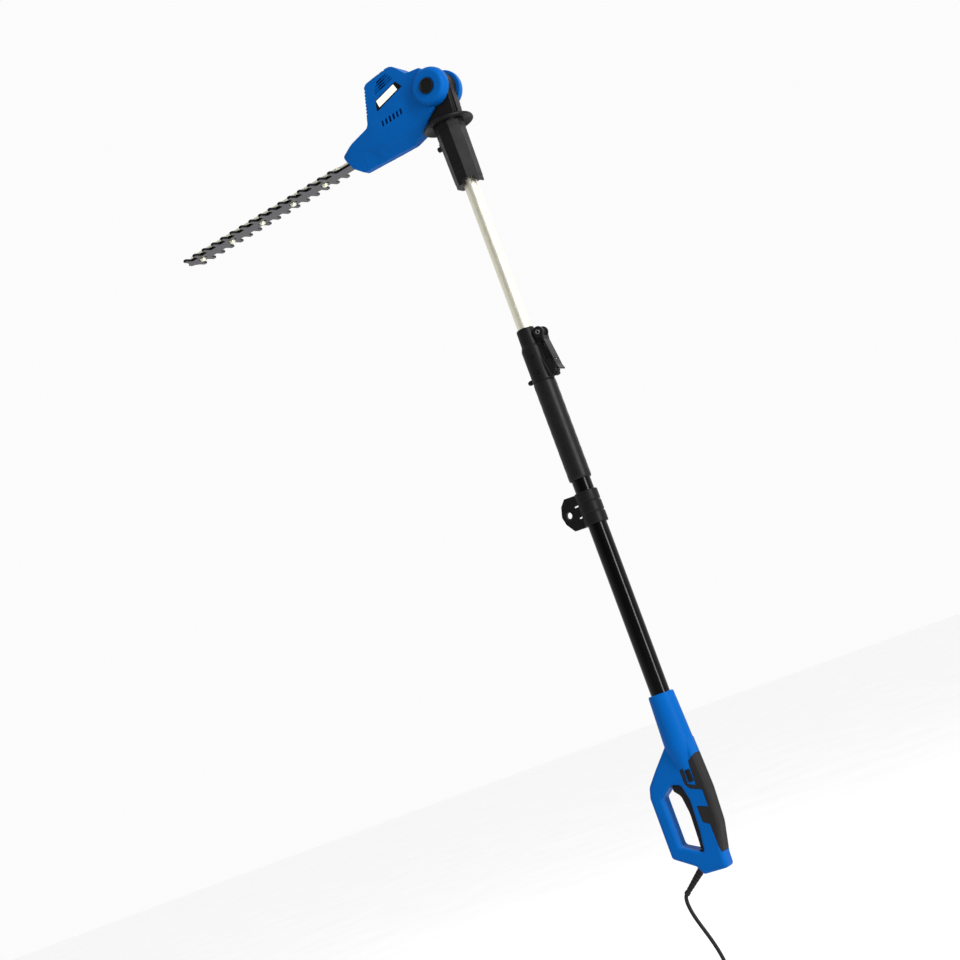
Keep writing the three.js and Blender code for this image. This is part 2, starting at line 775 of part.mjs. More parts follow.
// The way the neck sweeps past the head as it tilts.
const NECK_ROOM = outline([
  [-29, -90],
  [-29, -12],
  [-15, 24],
  [-4, 41],
  [13, 76],
  [60, 90],
  [60, -90],
]);

function addHead() {
  const body = common(
    alongY(HEAD_SIDE, [-40, 40]),
    alongZ(HEAD_PLAN, [-100, 100]),
    alongX(HEAD_SECTION, [-260, 20]),
  );
  const inside = [-KNUCKLE_HALF - GAP, KNUCKLE_HALF + GAP];
  const pivot = [PIVOT_X, 0];
  const knuckleRoom = rodY(KNUCKLE_R + 1.5, inside, pivot, 24);
  const neckRoom = alongY(NECK_ROOM, inside);
  const boltRoom = rodY(6 + GAP, [-60, 60], pivot);
  const capRoom = [rodY(12, [-46, -30], pivot), rodY(12, [30, 46], pivot)];
  const screws = HEAD_SCREWS.map((at) => screwRoom(at, HEAD_SCREW_SPAN));
  const made = cut(
    join(body, puck(-1), puck(1)),
    knuckleRoom,
    neckRoom,
    boltRoom,
    ...capRoom,
    headRoom(),
    ...headCuts(),
    ...screws,
  );
  putHalves("head_shell", made, blue, head);
  HEAD_SCREWS.forEach((at, i) => {
    screwAt("head_screw_" + (i + 1), at, HEAD_SCREW_SPAN, steel, head);
  });
}

// The blank name plates sit in shallow pockets on both sides.
const PLATE_ROOM = outline([[-118.8, 12.2], [-49.8, 30.4], [-61.2, 46.4], [-114.4, 34.4]]);
const PLATE = outline([[-117.9, 13.1], [-50.9, 30.8], [-61.5, 45.6], [-113.9, 33.8]]);
function addPlates() {
  put("name_plate_near", onSide(PLATE, [-0.6, 0.2], -1), black, head);
  put("name_plate_far", onSide(PLATE, [-0.6, 0.2], 1), black, head);
}

function addPivot() {
  const pivot = [PIVOT_X, 0];
  const shank = rodY(6, [-31, 31], pivot);
  const ends = [rodY(10, [-34.5, -30.4], pivot, 6), rodY(10, [30.4, 34.5], pivot, 6)];
  put("pivot_bolt", join(shank, ...ends), steel, head);
  const cap = turned([
    [0, PUCK_FACE + GAP],
    [CAP_R, PUCK_FACE + GAP],
    [CAP_R, PUCK_FACE + 3],
    [CAP_R - 2, PUCK_FACE + 5],
    [0, PUCK_FACE + 5.6],
  ], 20);
  const plugIn = disc(11.5, [PUCK_FACE - 3, PUCK_FACE + 2], 16);
  const whole = join(cap, plugIn);
  put("pivot_cap_near", whole.rotate([90, 0, 0]).translate([PIVOT_X, 0, 0]), black, head);
  put("pivot_cap_far", whole.rotate([-90, 0, 0]).translate([PIVOT_X, 0, 0]), black, head);
}

// Involute spur gear outline, its first tooth centred on the +X axis turned by phase.
function gearOutline(teeth, phase) {
  const pressure = THREE.MathUtils.degToRad(25);
  const pitchR = (GEAR_MODULE * teeth) / 2;
  const baseR = pitchR * Math.cos(pressure);
  const tipR = pitchR + 0.75 * GEAR_MODULE;
  const rootR = pitchR - 1.05 * GEAR_MODULE;
  const involute = (r) => {
    const a = Math.acos(Math.min(1, baseR / r));
    return Math.tan(a) - a;
  };
  const halfAtPitch = (0.44 * Math.PI) / teeth;
  const halfAt = (r) => halfAtPitch + involute(pitchR) - involute(Math.max(r, baseR));
  const radii = [rootR, pitchR, tipR];
  const points = [];
  for (let i = 0; i < teeth; i += 1) {
    const centre = phase + (2 * Math.PI * i) / teeth;
    const flank = radii.map((r) => [r, halfAt(r)]);
    for (const [r, spread] of flank) {
      points.push(new THREE.Vector2(r * Math.cos(centre - spread), r * Math.sin(centre - spread)));
    }
    for (const [r, spread] of flank.reverse()) {
      points.push(new THREE.Vector2(r * Math.cos(centre + spread), r * Math.sin(centre + spread)));
    }
  }
  return points;
}

function addDrive() {
  const shaftHole = rodZ(4, [-60, 80], [MOTOR_X, 0], 20);
  const can = rodZ(MOTOR_R, [PLATE_Z[1] + GAP, MOTOR_TOP], [MOTOR_X, 0], 24);
  put("motor_can", cut(can, shaftHole), steel, head);
  const toothAtGear = Math.PI;
  const pinion = alongZ(gearOutline(PINION_TEETH, toothAtGear), [GEAR_Z[0] + 0.5, GEAR_Z[1]]);
  const shaft = rodZ(3.2, [GEAR_Z[0] + 0.5, MOTOR_TOP + 12], [0, 0], 16);
  const hub = rodZ(6, [MOTOR_TOP + 2, MOTOR_TOP + 12], [0, 0], 16);
  const blades = [];
  for (let i = 0; i < 6; i += 1) {
    blades.push(box([2, 19], [-1, 1], [MOTOR_TOP + 3, MOTOR_TOP + 12]).rotate([0, 0, 60 * i]));
  }
  const backPlate = rodZ(19.5, [MOTOR_TOP + 2, MOTOR_TOP + 4], [0, 0], 20);
  const rotor = join(pinion, shaft, hub, backPlate, ...blades).translate([MOTOR_X, 0, 0]);
  put("motor_rotor", rotor, brass, head);
  const gapAtPinion = Math.PI / GEAR_TEETH;
  const wheel = alongZ(gearOutline(GEAR_TEETH, gapAtPinion), GEAR_Z);
  const axle = rodZ(4, [GEAR_Z[1] - 1, AXLE_TOP], [0, 0], 20);
  const upperCam = rodZ(8, [BLADE_Z + 0.05, GEAR_Z[0] + 1], [STROKE, 0], 20);
  const lowerCam = rodZ(8, [BLADE_Z - BLADE_T - 0.4, BLADE_Z + 0.1], [-STROKE, 0], 20);
  const gear = join(wheel, axle, upperCam, lowerCam).translate([GEAR_X, 0, 0]);
  put("drive_gear", gear, steel, head);
  const plate = alongZ(outline([
    [-202, -18, 6],
    [-150, -24, 10],
    [-64, -24, 10],
    [-64, 24, 10],
    [-150, 24, 10],
    [-202, 18, 6],
  ]), PLATE_Z);
  const bosses = BAR_SCREWS.map((x) => rodZ(6, [BAR_Z[1] + GAP, PLATE_Z[0] + 1], [x, 0], 20));
  const holes = [
    rodZ(4 + GAP, [-60, 0], [GEAR_X, 0], 20),
    rodZ(7.8, [-60, 0], [MOTOR_X, 0], 24),
    ...BAR_SCREWS.map((x) => rodZ(2.5 + GAP, [-60, -26], [x, 0], 16)),
    rodY(SCREW_HEAD_R + 1, [-60, 60], HEAD_SCREWS[1], 12),
  ];
  put("gear_plate", cut(join(plate, ...bosses), ...holes), aluminium, head);
}

// Blade assembly: a guide bar over two reciprocating toothed blades.
const BLADE_TIP = FIRST_TOOTH - (TEETH - 1) * TOOTH_PITCH - 9;
const BAR_Z = [BLADE_Z + BLADE_T + GAP, BLADE_Z + BLADE_T + GAP + 4];
const BAR_SCREWS = [-166, -190];
const boltXs = Array.from({ length: 5 }, (_, i) => FIRST_BOLT - BOLT_PITCH * i);

function bladeOutline(tail) {
  const upperEdge = [];
  const toothRoot = 6.6;
  const toothTip = 4.2;
  for (let i = 0; i < TEETH; i += 1) {
    const x = FIRST_TOOTH - i * TOOTH_PITCH;
    upperEdge.push([x + toothRoot, SPINE_HALF], [x + toothTip, TOOTH_REACH]);
    upperEdge.push([x - toothTip, TOOTH_REACH], [x - toothRoot, SPINE_HALF]);
  }
  const tip = [[BLADE_TIP, 9], [BLADE_TIP - 6, 4]];
  const edge = [...tail, ...upperEdge, ...tip];
  const mirrored = edge.map(([x, y]) => [x, -y]).reverse();
  return [...edge, ...mirrored].map(([x, y]) => new THREE.Vector2(x, y));
}

function slot(x, halfLength, r, [z0, z1]) {
  const ends = [-halfLength, halfLength].map((d) => rodZ(r, [z0, z1], [x + d, 0], 8));
  return join(box([x - halfLength, x + halfLength], [-r, r], [z0, z1]), ...ends);
}

function blade([z0, z1]) {
  const yokeX = [GEAR_X + 27, GEAR_X - 27];
  const tail = [[yokeX[0], 13], [yokeX[0] - 6, 20], [yokeX[1] + 4, 20], [yokeX[1] - 6, 15]];
  const plate = alongZ(bladeOutline(tail), [z0, z1]);
  const reach = [z0 - 1, z1 + 1];
  const yoke = alongZ(outline([
    [GEAR_X + 21.8, -15, 8],
    [GEAR_X + 21.8, 15, 8],
    [GEAR_X - 21.8, 15, 8],
    [GEAR_X - 21.8, -15, 8],
  ]), reach);
  const slots = [...boltXs, ...BAR_SCREWS].map((x) => slot(x, STROKE + 0.3, 3.4, reach));
  return cut(plate, yoke, ...slots);
}

function addBlades() {
  put("blade_upper", blade([BLADE_Z + 0.15, BLADE_Z + BLADE_T]), steel, head);
  put("blade_lower", blade([BLADE_Z - BLADE_T, BLADE_Z - 0.15]), steel, head);
  const bar = alongZ(outline([
    [-150, -13],
    [-150, 13],
    [BLADE_TIP + 16, 13, 6],
    [BLADE_TIP + 4, 6, 4],
    [BLADE_TIP + 4, -6, 4],
    [BLADE_TIP + 16, -13, 6],
  ]), BAR_Z);
  const holes = [...boltXs, ...BAR_SCREWS].map((x) => rodZ(3.2, [-60, 0], [x, 0], 10));
  put("guide_bar", cut(bar, ...holes), brightSteel, head);
  const under = BLADE_Z - BLADE_T - GAP;
  boltXs.forEach((x, i) => {
    const shank = rodZ(2.8, [under - 1, BAR_Z[1] + 2], [x, 0], 8);
    const washer = rodZ(6.2, [under - 0.8, under], [x, 0], 14);
    const nut = rodZ(5.4, [under - 4, under - 0.7], [x, 0], 6);
    const dome = rodZ(5, [BAR_Z[1] + GAP, BAR_Z[1] + 3], [x, 0], 12);
    put("blade_bolt_" + (i + 1), join(shank, washer, nut, dome), brightSteel, head);
  });
  BAR_SCREWS.forEach((x, i) => {
    const shank = rodZ(2.5, [under - 1, -28.5], [x, 0], 8);
    const flange = rodZ(5.5, [under - 3, under], [x, 0], 12);
    put("bar_screw_" + (i + 1), join(shank, flange), steel, head);
  });
}

addHandle();
addTrigger();
addCord();
addPole();
addStrapBracket();
addClamp();
addCoupler();
addHead();
addPlates();
addPivot();
addDrive();
addBlades();

export default root;
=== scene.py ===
"""Looks of the pole hedge trimmer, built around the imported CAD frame.

Shapes are worked out in millimetres in the row frame and scaled to metres when they are placed.
"near" is the -Y side, which the camera sees, and "far" the +Y side.
"""
import json
import math

import bmesh
import bpy
from mathutils import Matrix, Vector


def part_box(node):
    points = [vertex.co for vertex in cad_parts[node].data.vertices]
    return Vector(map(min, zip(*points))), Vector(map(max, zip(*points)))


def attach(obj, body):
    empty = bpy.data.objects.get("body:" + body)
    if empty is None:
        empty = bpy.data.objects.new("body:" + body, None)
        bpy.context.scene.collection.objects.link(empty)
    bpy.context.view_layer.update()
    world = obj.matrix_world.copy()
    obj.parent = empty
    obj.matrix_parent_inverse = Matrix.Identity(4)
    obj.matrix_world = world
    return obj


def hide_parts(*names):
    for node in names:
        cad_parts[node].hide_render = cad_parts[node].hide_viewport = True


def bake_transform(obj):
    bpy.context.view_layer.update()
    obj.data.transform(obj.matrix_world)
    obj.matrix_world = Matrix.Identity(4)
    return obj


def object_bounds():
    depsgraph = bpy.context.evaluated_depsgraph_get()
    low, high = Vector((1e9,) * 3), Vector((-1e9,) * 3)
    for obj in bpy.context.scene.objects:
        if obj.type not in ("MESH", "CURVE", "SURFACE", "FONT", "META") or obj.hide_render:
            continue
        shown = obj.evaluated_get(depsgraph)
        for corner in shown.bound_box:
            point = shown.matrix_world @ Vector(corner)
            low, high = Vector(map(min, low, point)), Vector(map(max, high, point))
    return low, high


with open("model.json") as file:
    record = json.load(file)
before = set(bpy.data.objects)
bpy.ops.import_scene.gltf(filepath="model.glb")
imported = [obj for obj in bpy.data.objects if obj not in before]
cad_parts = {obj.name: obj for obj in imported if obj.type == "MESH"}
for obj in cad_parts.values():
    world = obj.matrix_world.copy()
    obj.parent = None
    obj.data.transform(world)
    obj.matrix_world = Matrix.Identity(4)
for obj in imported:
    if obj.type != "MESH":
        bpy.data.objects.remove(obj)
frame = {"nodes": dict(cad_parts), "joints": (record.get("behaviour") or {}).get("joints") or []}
CAD_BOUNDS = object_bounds()

MM = 0.001
GAP = 0.3  # clearance between neighbouring pieces
SIDES = (-1, 1)
NAMED_SIDES = ((-1, "near"), (1, "far"))
THROUGH = 60  # a depth that clears every casing
JOINTS = {joint["name"]: joint for joint in frame["joints"]}
NODES = frame["nodes"]


def span(node, axis):
    """Lowest and highest value of a CAD node along an axis, in millimetres."""
    low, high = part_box(node)
    return low[axis] / MM, high[axis] / MM


def linked(name, data):
    made = bpy.data.objects.new(name, data)
    bpy.context.scene.collection.objects.link(made)
    return made


# ---------------------------------------------------------------- camera
CAMERA_AT = (1.3789, -2.6982, -0.4785)
CAMERA_AZIMUTH = math.radians(30.29)
CAMERA_RISE = math.radians(8.36)
CAMERA_ROLL = math.radians(19.98)
CAMERA_LENS = 63.75


def add_camera():
    data = bpy.data.cameras.new("camera")
    data.lens = CAMERA_LENS
    data.sensor_width = 36
    data.clip_end = 60
    camera = linked("camera", data)
    forward = Vector((
        -math.sin(CAMERA_AZIMUTH) * math.cos(CAMERA_RISE),
        math.cos(CAMERA_AZIMUTH) * math.cos(CAMERA_RISE),
        math.sin(CAMERA_RISE),
    ))
    level = Vector((math.cos(CAMERA_AZIMUTH), math.sin(CAMERA_AZIMUTH), 0))
    upright = level.cross(forward)
    right = math.cos(CAMERA_ROLL) * level - math.sin(CAMERA_ROLL) * upright
    up = math.sin(CAMERA_ROLL) * level + math.cos(CAMERA_ROLL) * upright
    turn = Matrix((right, up, -forward)).transposed().to_4x4()
    camera.matrix_world = Matrix.Translation(CAMERA_AT) @ turn
    bpy.context.scene.camera = camera


add_camera()


# ---------------------------------------------------------------- materials
def new_material(name):
    material = bpy.data.materials.new(name)
    material.use_nodes = True
    tree = material.node_tree
    shader = tree.nodes["Principled BSDF"]
    return material, tree, shader


def noise(tree, scale, detail, stretch=(1, 1, 1)):
    """Noise in object space; stretch multiplies the coordinates."""
    coords = tree.nodes.new("ShaderNodeTexCoord")
    mapping = tree.nodes.new("ShaderNodeMapping")
    mapping.inputs["Scale"].default_value = stretch
    texture = tree.nodes.new("ShaderNodeTexNoise")
    texture.inputs["Scale"].default_value = scale
    texture.inputs["Detail"].default_value = detail
    tree.links.new(coords.outputs["Object"], mapping.inputs["Vector"])
    tree.links.new(mapping.outputs["Vector"], texture.inputs["Vector"])
    return texture.outputs["Fac"]


def cells(tree, scale):
    coords = tree.nodes.new("ShaderNodeTexCoord")
    texture = tree.nodes.new("ShaderNodeTexVoronoi")
    texture.inputs["Scale"].default_value = scale
    tree.links.new(coords.outputs["Object"], texture.inputs["Vector"])
    return texture.outputs["Distance"]


def ranged(tree, value, low, high, start=0.3, stop=0.7):
    """Maps a 0 to 1 texture onto low to high."""
    node = tree.nodes.new("ShaderNodeMapRange")
    node.inputs["From Min"].default_value = start
    node.inputs["From Max"].default_value = stop
    node.inputs["To Min"].default_value = low
    node.inputs["To Max"].default_value = high
    tree.links.new(value, node.inputs["Value"])
    return node.outputs["Result"]


def tinted(tree, value, dark, light, start=0.3, stop=0.7):
    ramp = tree.nodes.new("ShaderNodeValToRGB")
    ramp.color_ramp.elements[0].position = start
    ramp.color_ramp.elements[1].position = stop
    ramp.color_ramp.elements[0].color = (*dark, 1)
    ramp.color_ramp.elements[1].color = (*light, 1)
    tree.links.new(value, ramp.inputs["Fac"])
    return ramp.outputs["Color"]


def bumped(tree, shader, value, strength, distance):
    bump = tree.nodes.new("ShaderNodeBump")
    bump.inputs["Strength"].default_value = strength
    bump.inputs["Distance"].default_value = distance
    tree.links.new(value, bump.inputs["Height"])
    tree.links.new(bump.outputs["Normal"], shader.inputs["Normal"])


def scaled(colour, factor):
    return tuple(channel * factor for channel in colour)


def moulded(name, colour, roughness, grain=1400, grain_depth=0.00006, mottle=0.12, gloss=0.25):
    """Moulded plastic or rubber with a spark-eroded grain and a slight mottle."""
    material, tree, shader = new_material(name)
    shader.inputs["Specular IOR Level"].default_value = gloss
    broad = noise(tree, 14, 4)
    colours = tinted(tree, broad, scaled(colour, 1 - mottle), scaled(colour, 1 + mottle))
    tree.links.new(colours, shader.inputs["Base Color"])
    fine = noise(tree, grain, 2)
    rough = ranged(tree, noise(tree, 45, 5), roughness - 0.05, roughness + 0.06)
    tree.links.new(rough, shader.inputs["Roughness"])
    bumped(tree, shader, fine, 0.55, grain_depth)
    return material


def metal(name, colour, roughness, stretch, scale, depth=0.00002):
    """Metal with fine drawn or ground lines along the axis that stretch leaves long."""
    material, tree, shader = new_material(name)
    shader.inputs["Metallic"].default_value = 1
    lines = noise(tree, scale, 4, stretch)
    colours = tinted(tree, lines, scaled(colour, 0.86), scaled(colour, 1.08))
    tree.links.new(colours, shader.inputs["Base Color"])
    rough = ranged(tree, lines, roughness - 0.06, roughness + 0.08)
    tree.links.new(rough, shader.inputs["Roughness"])
    bumped(tree, shader, lines, 0.4, depth)
    return material


def foam_material():
    material, tree, shader = new_material("foam_rubber")
    pores = cells(tree, 900)
    colours = tinted(tree, pores, (0.0015, 0.0015, 0.0018), (0.006, 0.0055, 0.0062), 0.1, 0.6)
    tree.links.new(colours, shader.inputs["Base Color"])
    rough = ranged(tree, noise(tree, 60, 4), 0.36, 0.46)
    tree.links.new(rough, shader.inputs["Roughness"])
    shader.inputs["Specular IOR Level"].default_value = 0.14
    bumped(tree, shader, pores, 0.35, 0.00015)
    return material


def tube_lacquer():
    """Gloss black coat with faint drawing lines along the tube."""
    material, tree, shader = new_material("black_tube_lacquer")
    lines = noise(tree, 40, 3, (14, 14, 0.15))
    colours = tinted(tree, lines, (0.0006, 0.0006, 0.0008), (0.0014, 0.0013, 0.0016))
    tree.links.new(colours, shader.inputs["Base Color"])
    rough = ranged(tree, lines, 0.15, 0.21)
    tree.links.new(rough, shader.inputs["Roughness"])
    shader.inputs["Specular IOR Level"].default_value = 0.14
    bumped(tree, shader, lines, 0.15, 0.00001)
    return material


ALONG_Z = (10, 10, 0.25)
ALONG_X = (0.25, 10, 10)
ALL_WAYS = (1, 1, 1)
BLUE = moulded("blue_casing_plastic", (0.0003, 0.066, 0.262), 0.42, mottle=0.05, gloss=0.03)
BLACK = moulded("black_plastic", (0.0052, 0.0046, 0.0050), 0.42, gloss=0.1)
BLACK_FINE = moulded("black_trigger_plastic", (0.0075, 0.0075, 0.0085), 0.5, 900, gloss=0.1)
SOFT = moulded("soft_black_rubber", (0.011, 0.0102, 0.0106), 0.6, 700, 0.00012, gloss=0.12)
CORD = moulded("cord_rubber", (0.007, 0.007, 0.008), 0.5, 1800, gloss=0.15)
PLATE_BLACK = moulded("plate_black_gloss", (0.004, 0.004, 0.004), 0.25, 2400, 0.00001, gloss=0.1)
PLATE_WHITE = moulded("plate_white_gloss", (0.80, 0.78, 0.68), 0.3, 2400, 0.00001, 0.03)
NYLON = moulded("nylon_natural", (0.66, 0.65, 0.60), 0.5)
FOAM = foam_material()
TUBE = tube_lacquer()
ALUMINIUM = metal("anodised_aluminium", (0.74, 0.72, 0.60), 0.50, ALONG_Z, 260, 0.000006)
PLATE_METAL = metal("cast_plate_metal", (0.55, 0.55, 0.54), 0.5, ALL_WAYS, 300)
BLADE = metal("ground_blade_steel", (0.090, 0.090, 0.098), 0.45, ALONG_X, 90)
# a near-black copy of the blade steel for the blades' edge faces: painted shade along the teeth
BLADE_EDGE_SHADE = metal("blade_edge_painted_shade", (0.012, 0.012, 0.014), 0.4, ALONG_X, 90)
BAR = metal("bright_bar_steel", (0.86, 0.85, 0.70), 0.45, ALONG_X, 90)
ZINC = metal("zinc_plated_steel", (0.60, 0.60, 0.59), 0.3, ALL_WAYS, 500)
DARK_SCREW = metal("black_oxide_screw", (0.03, 0.03, 0.033), 0.35, ALL_WAYS, 500)
PIN_STEEL = metal("clamp_pin_steel", (0.16, 0.16, 0.16), 0.35, ALL_WAYS, 400)


# ---------------------------------------------------------------- mesh tools
def from_bmesh(name, bm):
    bmesh.ops.recalc_face_normals(bm, faces=bm.faces)
    mesh = bpy.data.meshes.new(name)
    bm.to_mesh(mesh)
    bm.free()
    return linked(name, mesh)


STRAIGHT_ON = math.pi - 0.02  # a corner flatter than this is left alone


def outline(corners, steps=7):
    """Corners (a, b, radius) to points, with each corner rounded by a smooth curve."""
    points = []
    count = len(corners)
    for i, corner in enumerate(corners):
        here = Vector(corner[:2])
        radius = corner[2] if len(corner) > 2 else 0
        before = Vector(corners[i - 1][:2]) - here
        after = Vector(corners[(i + 1) % count][:2]) - here
        turn = before.angle(after)
        if radius == 0 or turn > STRAIGHT_ON:
            points.append(here)
            continue
        back = min(radius / math.tan(turn / 2), 0.49 * before.length, 0.49 * after.length)
        start = here + before.normalized() * back
        end = here + after.normalized() * back
        for k in range(steps + 1):
            t = k / steps
            points.append((1 - t) ** 2 * start + 2 * t * (1 - t) * here + t * t * end)
    return points


AXES = {
    "X": lambda a, b, d: (d, a, b),
    "Y": lambda a, b, d: (a, d, b),
    "Z": lambda a, b, d: (a, b, d),
}


def inset(points, amount):
    """The outline drawn in by an amount, or let out by a negative one."""
    count = len(points)
    area = sum(a.x * b.y - b.x * a.y for a, b in zip(points, points[1:] + points[:1]))
    moved = []
    for i, here in enumerate(points):
        before = (here - points[i - 1]).normalized()
        after = (points[(i + 1) % count] - here).normalized()
        along = (before + after).normalized()
        inward = math.copysign(1, area) * Vector((-along.y, along.x))
        moved.append(here + inward * amount / max(0.5, before.dot(along)))
    return moved


def loft(name, sections, axis="Y"):
    """A closed solid through sections [(points, depth), ...] that have equal point counts."""
    place = AXES[axis]
    bm = bmesh.new()
    rings = [[bm.verts.new(place(p[0], p[1], depth)) for p in points] for points, depth in sections]
    for low, high in zip(rings, rings[1:]):
        count = len(low)
        for i in range(count):
            bm.faces.new((low[i], low[(i + 1) % count], high[(i + 1) % count], high[i]))
    bm.faces.new(rings[0])
    bm.faces.new(rings[-1])
    return from_bmesh(name, bm)


def prism(points, limits, axis="Y", name="tool"):
    return loft(name, [(points, limits[0]), (points, limits[1])], axis)


def block(xs, ys, zs, name="tool"):
    corners = [(xs[0], zs[0]), (xs[1], zs[0]), (xs[1], zs[1]), (xs[0], zs[1])]
    return prism(corners, ys, "Y", name)


ON_AXIS = 1e-6  # a smaller radius is a point on the axis


def lathe(profile, axis="Z", centre=(0, 0, 0), segments=96, name="tool"):
    """A solid turned from (radius, height) points.

    They start and end on the axis, or go once round a ring's section.
    """
    closed = profile[0][0] > ON_AXIS
    bm = bmesh.new()
    rings = []
    for radius, height in profile:
        if radius < ON_AXIS:
            rings.append([bm.verts.new((0, 0, height))])
            continue
        ring = []
        for k in range(segments):
            angle = 2 * math.pi * k / segments
            ring.append(bm.verts.new((radius * math.cos(angle), radius * math.sin(angle), height)))
        rings.append(ring)
    pairs = list(zip(rings, rings[1:]))
    if closed:
        pairs.append((rings[-1], rings[0]))
    for low, high in pairs:
        for k in range(segments):
            after = (k + 1) % segments
            walk = ((low, k), (low, after), (high, after), (high, k))
            unique = list(dict.fromkeys(ring[j % len(ring)] for ring, j in walk))
            if len(unique) > 2:
                bm.faces.new(unique)
    made = from_bmesh(name, bm)
    turn = {
        "Z": Matrix.Identity(4),
        "X": Matrix.Rotation(math.pi / 2, 4, "Y"),
        "Y": Matrix.Rotation(-math.pi / 2, 4, "X"),
    }[axis]
    made.data.transform(Matrix.Translation(centre) @ turn)
    return made


def rod(radius, limits, axis="Y", centre=(0, 0, 0), segments=48):
    """A round bar; along Y and X the limits run along that axis."""
    low, high = limits
    return lathe([(0, low), (radius, low), (radius, high), (0, high)], axis, centre, segments)


def rounded_box(xs, ys, radius, steps=7):
    """The outline of a rectangle with rounded corners."""
    corners = [(xs[0], ys[0]), (xs[1], ys[0]), (xs[1], ys[1]), (xs[0], ys[1])]
    return outline([(*corner, radius) for corner in corners], steps)


def screw_holes(screws, seat, shank_end):
    """Holes at (x, z) for screws that are entered from the far side."""
    tools = []
    for x, z in screws:
        tools.append(rod(4.1, (seat, THROUGH), "Y", (x, 0, z), 32))
        tools.append(rod(2.4, (shank_end, 20), "Y", (x, 0, z), 24))
    return tools


def applied(made):
    """Applies every modifier."""
    depsgraph = bpy.context.evaluated_depsgraph_get()
    mesh = bpy.data.meshes.new_from_object(made.evaluated_get(depsgraph))
    made.modifiers.clear()
    made.data = mesh
    return made


def boolean(body, tools, operation):
    for tool in tools:
        modifier = body.modifiers.new("boolean", "BOOLEAN")
        modifier.operation = operation
        modifier.solver = "MANIFOLD"
        modifier.object = tool
        applied(body)
        bpy.data.objects.remove(tool)
    return body


def carve(body, *tools):
    return boolean(body, tools, "DIFFERENCE")


def weld(body, *parts):
    return boolean(body, parts, "UNION")


def overlap(body, *parts):
    return boolean(body, parts, "INTERSECT")


def soften(made, voxel, rounds, factor=0.5):
    """Rounds every edge: an even remesh, then smoothing."""
    modifier = made.modifiers.new("remesh", "REMESH")
    modifier.mode = "VOXEL"
    modifier.voxel_size = voxel
    smooth = made.modifiers.new("smooth", "SMOOTH")
    smooth.factor = factor
    smooth.iterations = rounds
    return applied(made)


def bevelled(made, width, segments=3, angle=30):
    modifier = made.modifiers.new("bevel", "BEVEL")
    modifier.width = width
    modifier.segments = segments
    modifier.limit_method = "ANGLE"
    modifier.angle_limit = math.radians(angle)
    return applied(made)


def kept_side(made, y, keep_above):
    """A copy cut flat at a Y value, closed, keeping one side."""
    copy = linked(made.name, made.data.copy())
    bm = bmesh.new()
    bm.from_mesh(copy.data)
    everything = bm.verts[:] + bm.edges[:] + bm.faces[:]
    cut = bmesh.ops.bisect_plane(
        bm,
        geom=everything,
        plane_co=(0, y, 0),
        plane_no=(0, 1, 0),
        clear_inner=keep_above,
        clear_outer=not keep_above,
    )
    edges = [item for item in cut["geom_cut"] if isinstance(item, bmesh.types.BMEdge)]
    bmesh.ops.holes_fill(bm, edges=edges, sides=0)
    bmesh.ops.triangulate(bm, faces=[face for face in bm.faces if len(face.verts) > 4])
    bm.to_mesh(copy.data)
    bm.free()
    return copy


def place(made, name, body, material, slot, nodes=(), angle=35):
    """Scales a finished shape to metres, names it, and puts it on its body."""
    made.name = name
    made.data.name = name
    made.data.transform(Matrix.Scale(MM, 4))
    made.data.materials.clear()
    made.data.materials.append(material)
    made.data.shade_smooth()
    made.data.set_sharp_from_angle(angle=math.radians(angle))
    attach(made, body)
    if nodes:
        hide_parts(*nodes)
    return made


def place_halves(made, stem, body, material, slot):
    """Splits a casing along Y = 0 and puts both halves in place of the CAD ones."""
    near = kept_side(made, -GAP / 2, False)
    far = kept_side(made, GAP / 2, True)
    bpy.data.objects.remove(made)
    place(near, stem + "_near_skin", body, material, slot, [stem + "_near"])
    place(far, stem + "_far_skin", body, material, slot, [stem + "_far"])


def repaint(material, *names):
    for name in names:
        for slot in NODES[name].material_slots:
            slot.material = material


# ---------------------------------------------------------------- cord
CORD_DIAMETER = 0.007
CORD_ROUTE = [
    (-0.0907, -0.8446), (-0.0928, -0.8472), (-0.0944, -0.8520), (-0.0948, -0.8600),
    (-0.0938, -0.8700), (-0.0905, -0.8850), (-0.0840, -0.9040), (-0.0770, -0.9230),
    (-0.0710, -0.9420), (-0.0665, -0.9620), (-0.0635, -0.9840), (-0.0618, -1.0080),
    (-0.0610, -1.0340), (-0.0606, -1.0620), (-0.0605, -1.0900), (-0.0605, -1.1120),
]
GLAND_START = Vector((-36, 0, -803))
GLAND_END = Vector((-90, 0, -844))
GLAND_RINGS = 7
GLAND_COLLAR = 11  # the plain length before the first ring
GLAND_TIP = 7
PLUG_RIBS = 4
PLUG_GRIPS = 4
PLUG_FLANK = 16.6
PIN_OFFSET = 9.5


def curve(name, kind, points, radius):
    """A round line through points in metres."""
    data = bpy.data.curves.new(name, "CURVE")
    data.dimensions = "3D"
    data.bevel_depth = radius
    data.use_fill_caps = True
    spline = data.splines.new(kind)
    spline.points.add(len(points) - 1)
    for point, place_at in zip(spline.points, points):
        point.co = (*place_at, 1)
    return linked(name, data)


def along_gland(made):
    """Lays a shape turned about Z along the gland's axis."""
    turn = Vector((0, 0, 1)).rotation_difference(GLAND_END - GLAND_START).to_matrix().to_4x4()
    made.data.transform(Matrix.Translation(GLAND_START) @ turn)
    return made


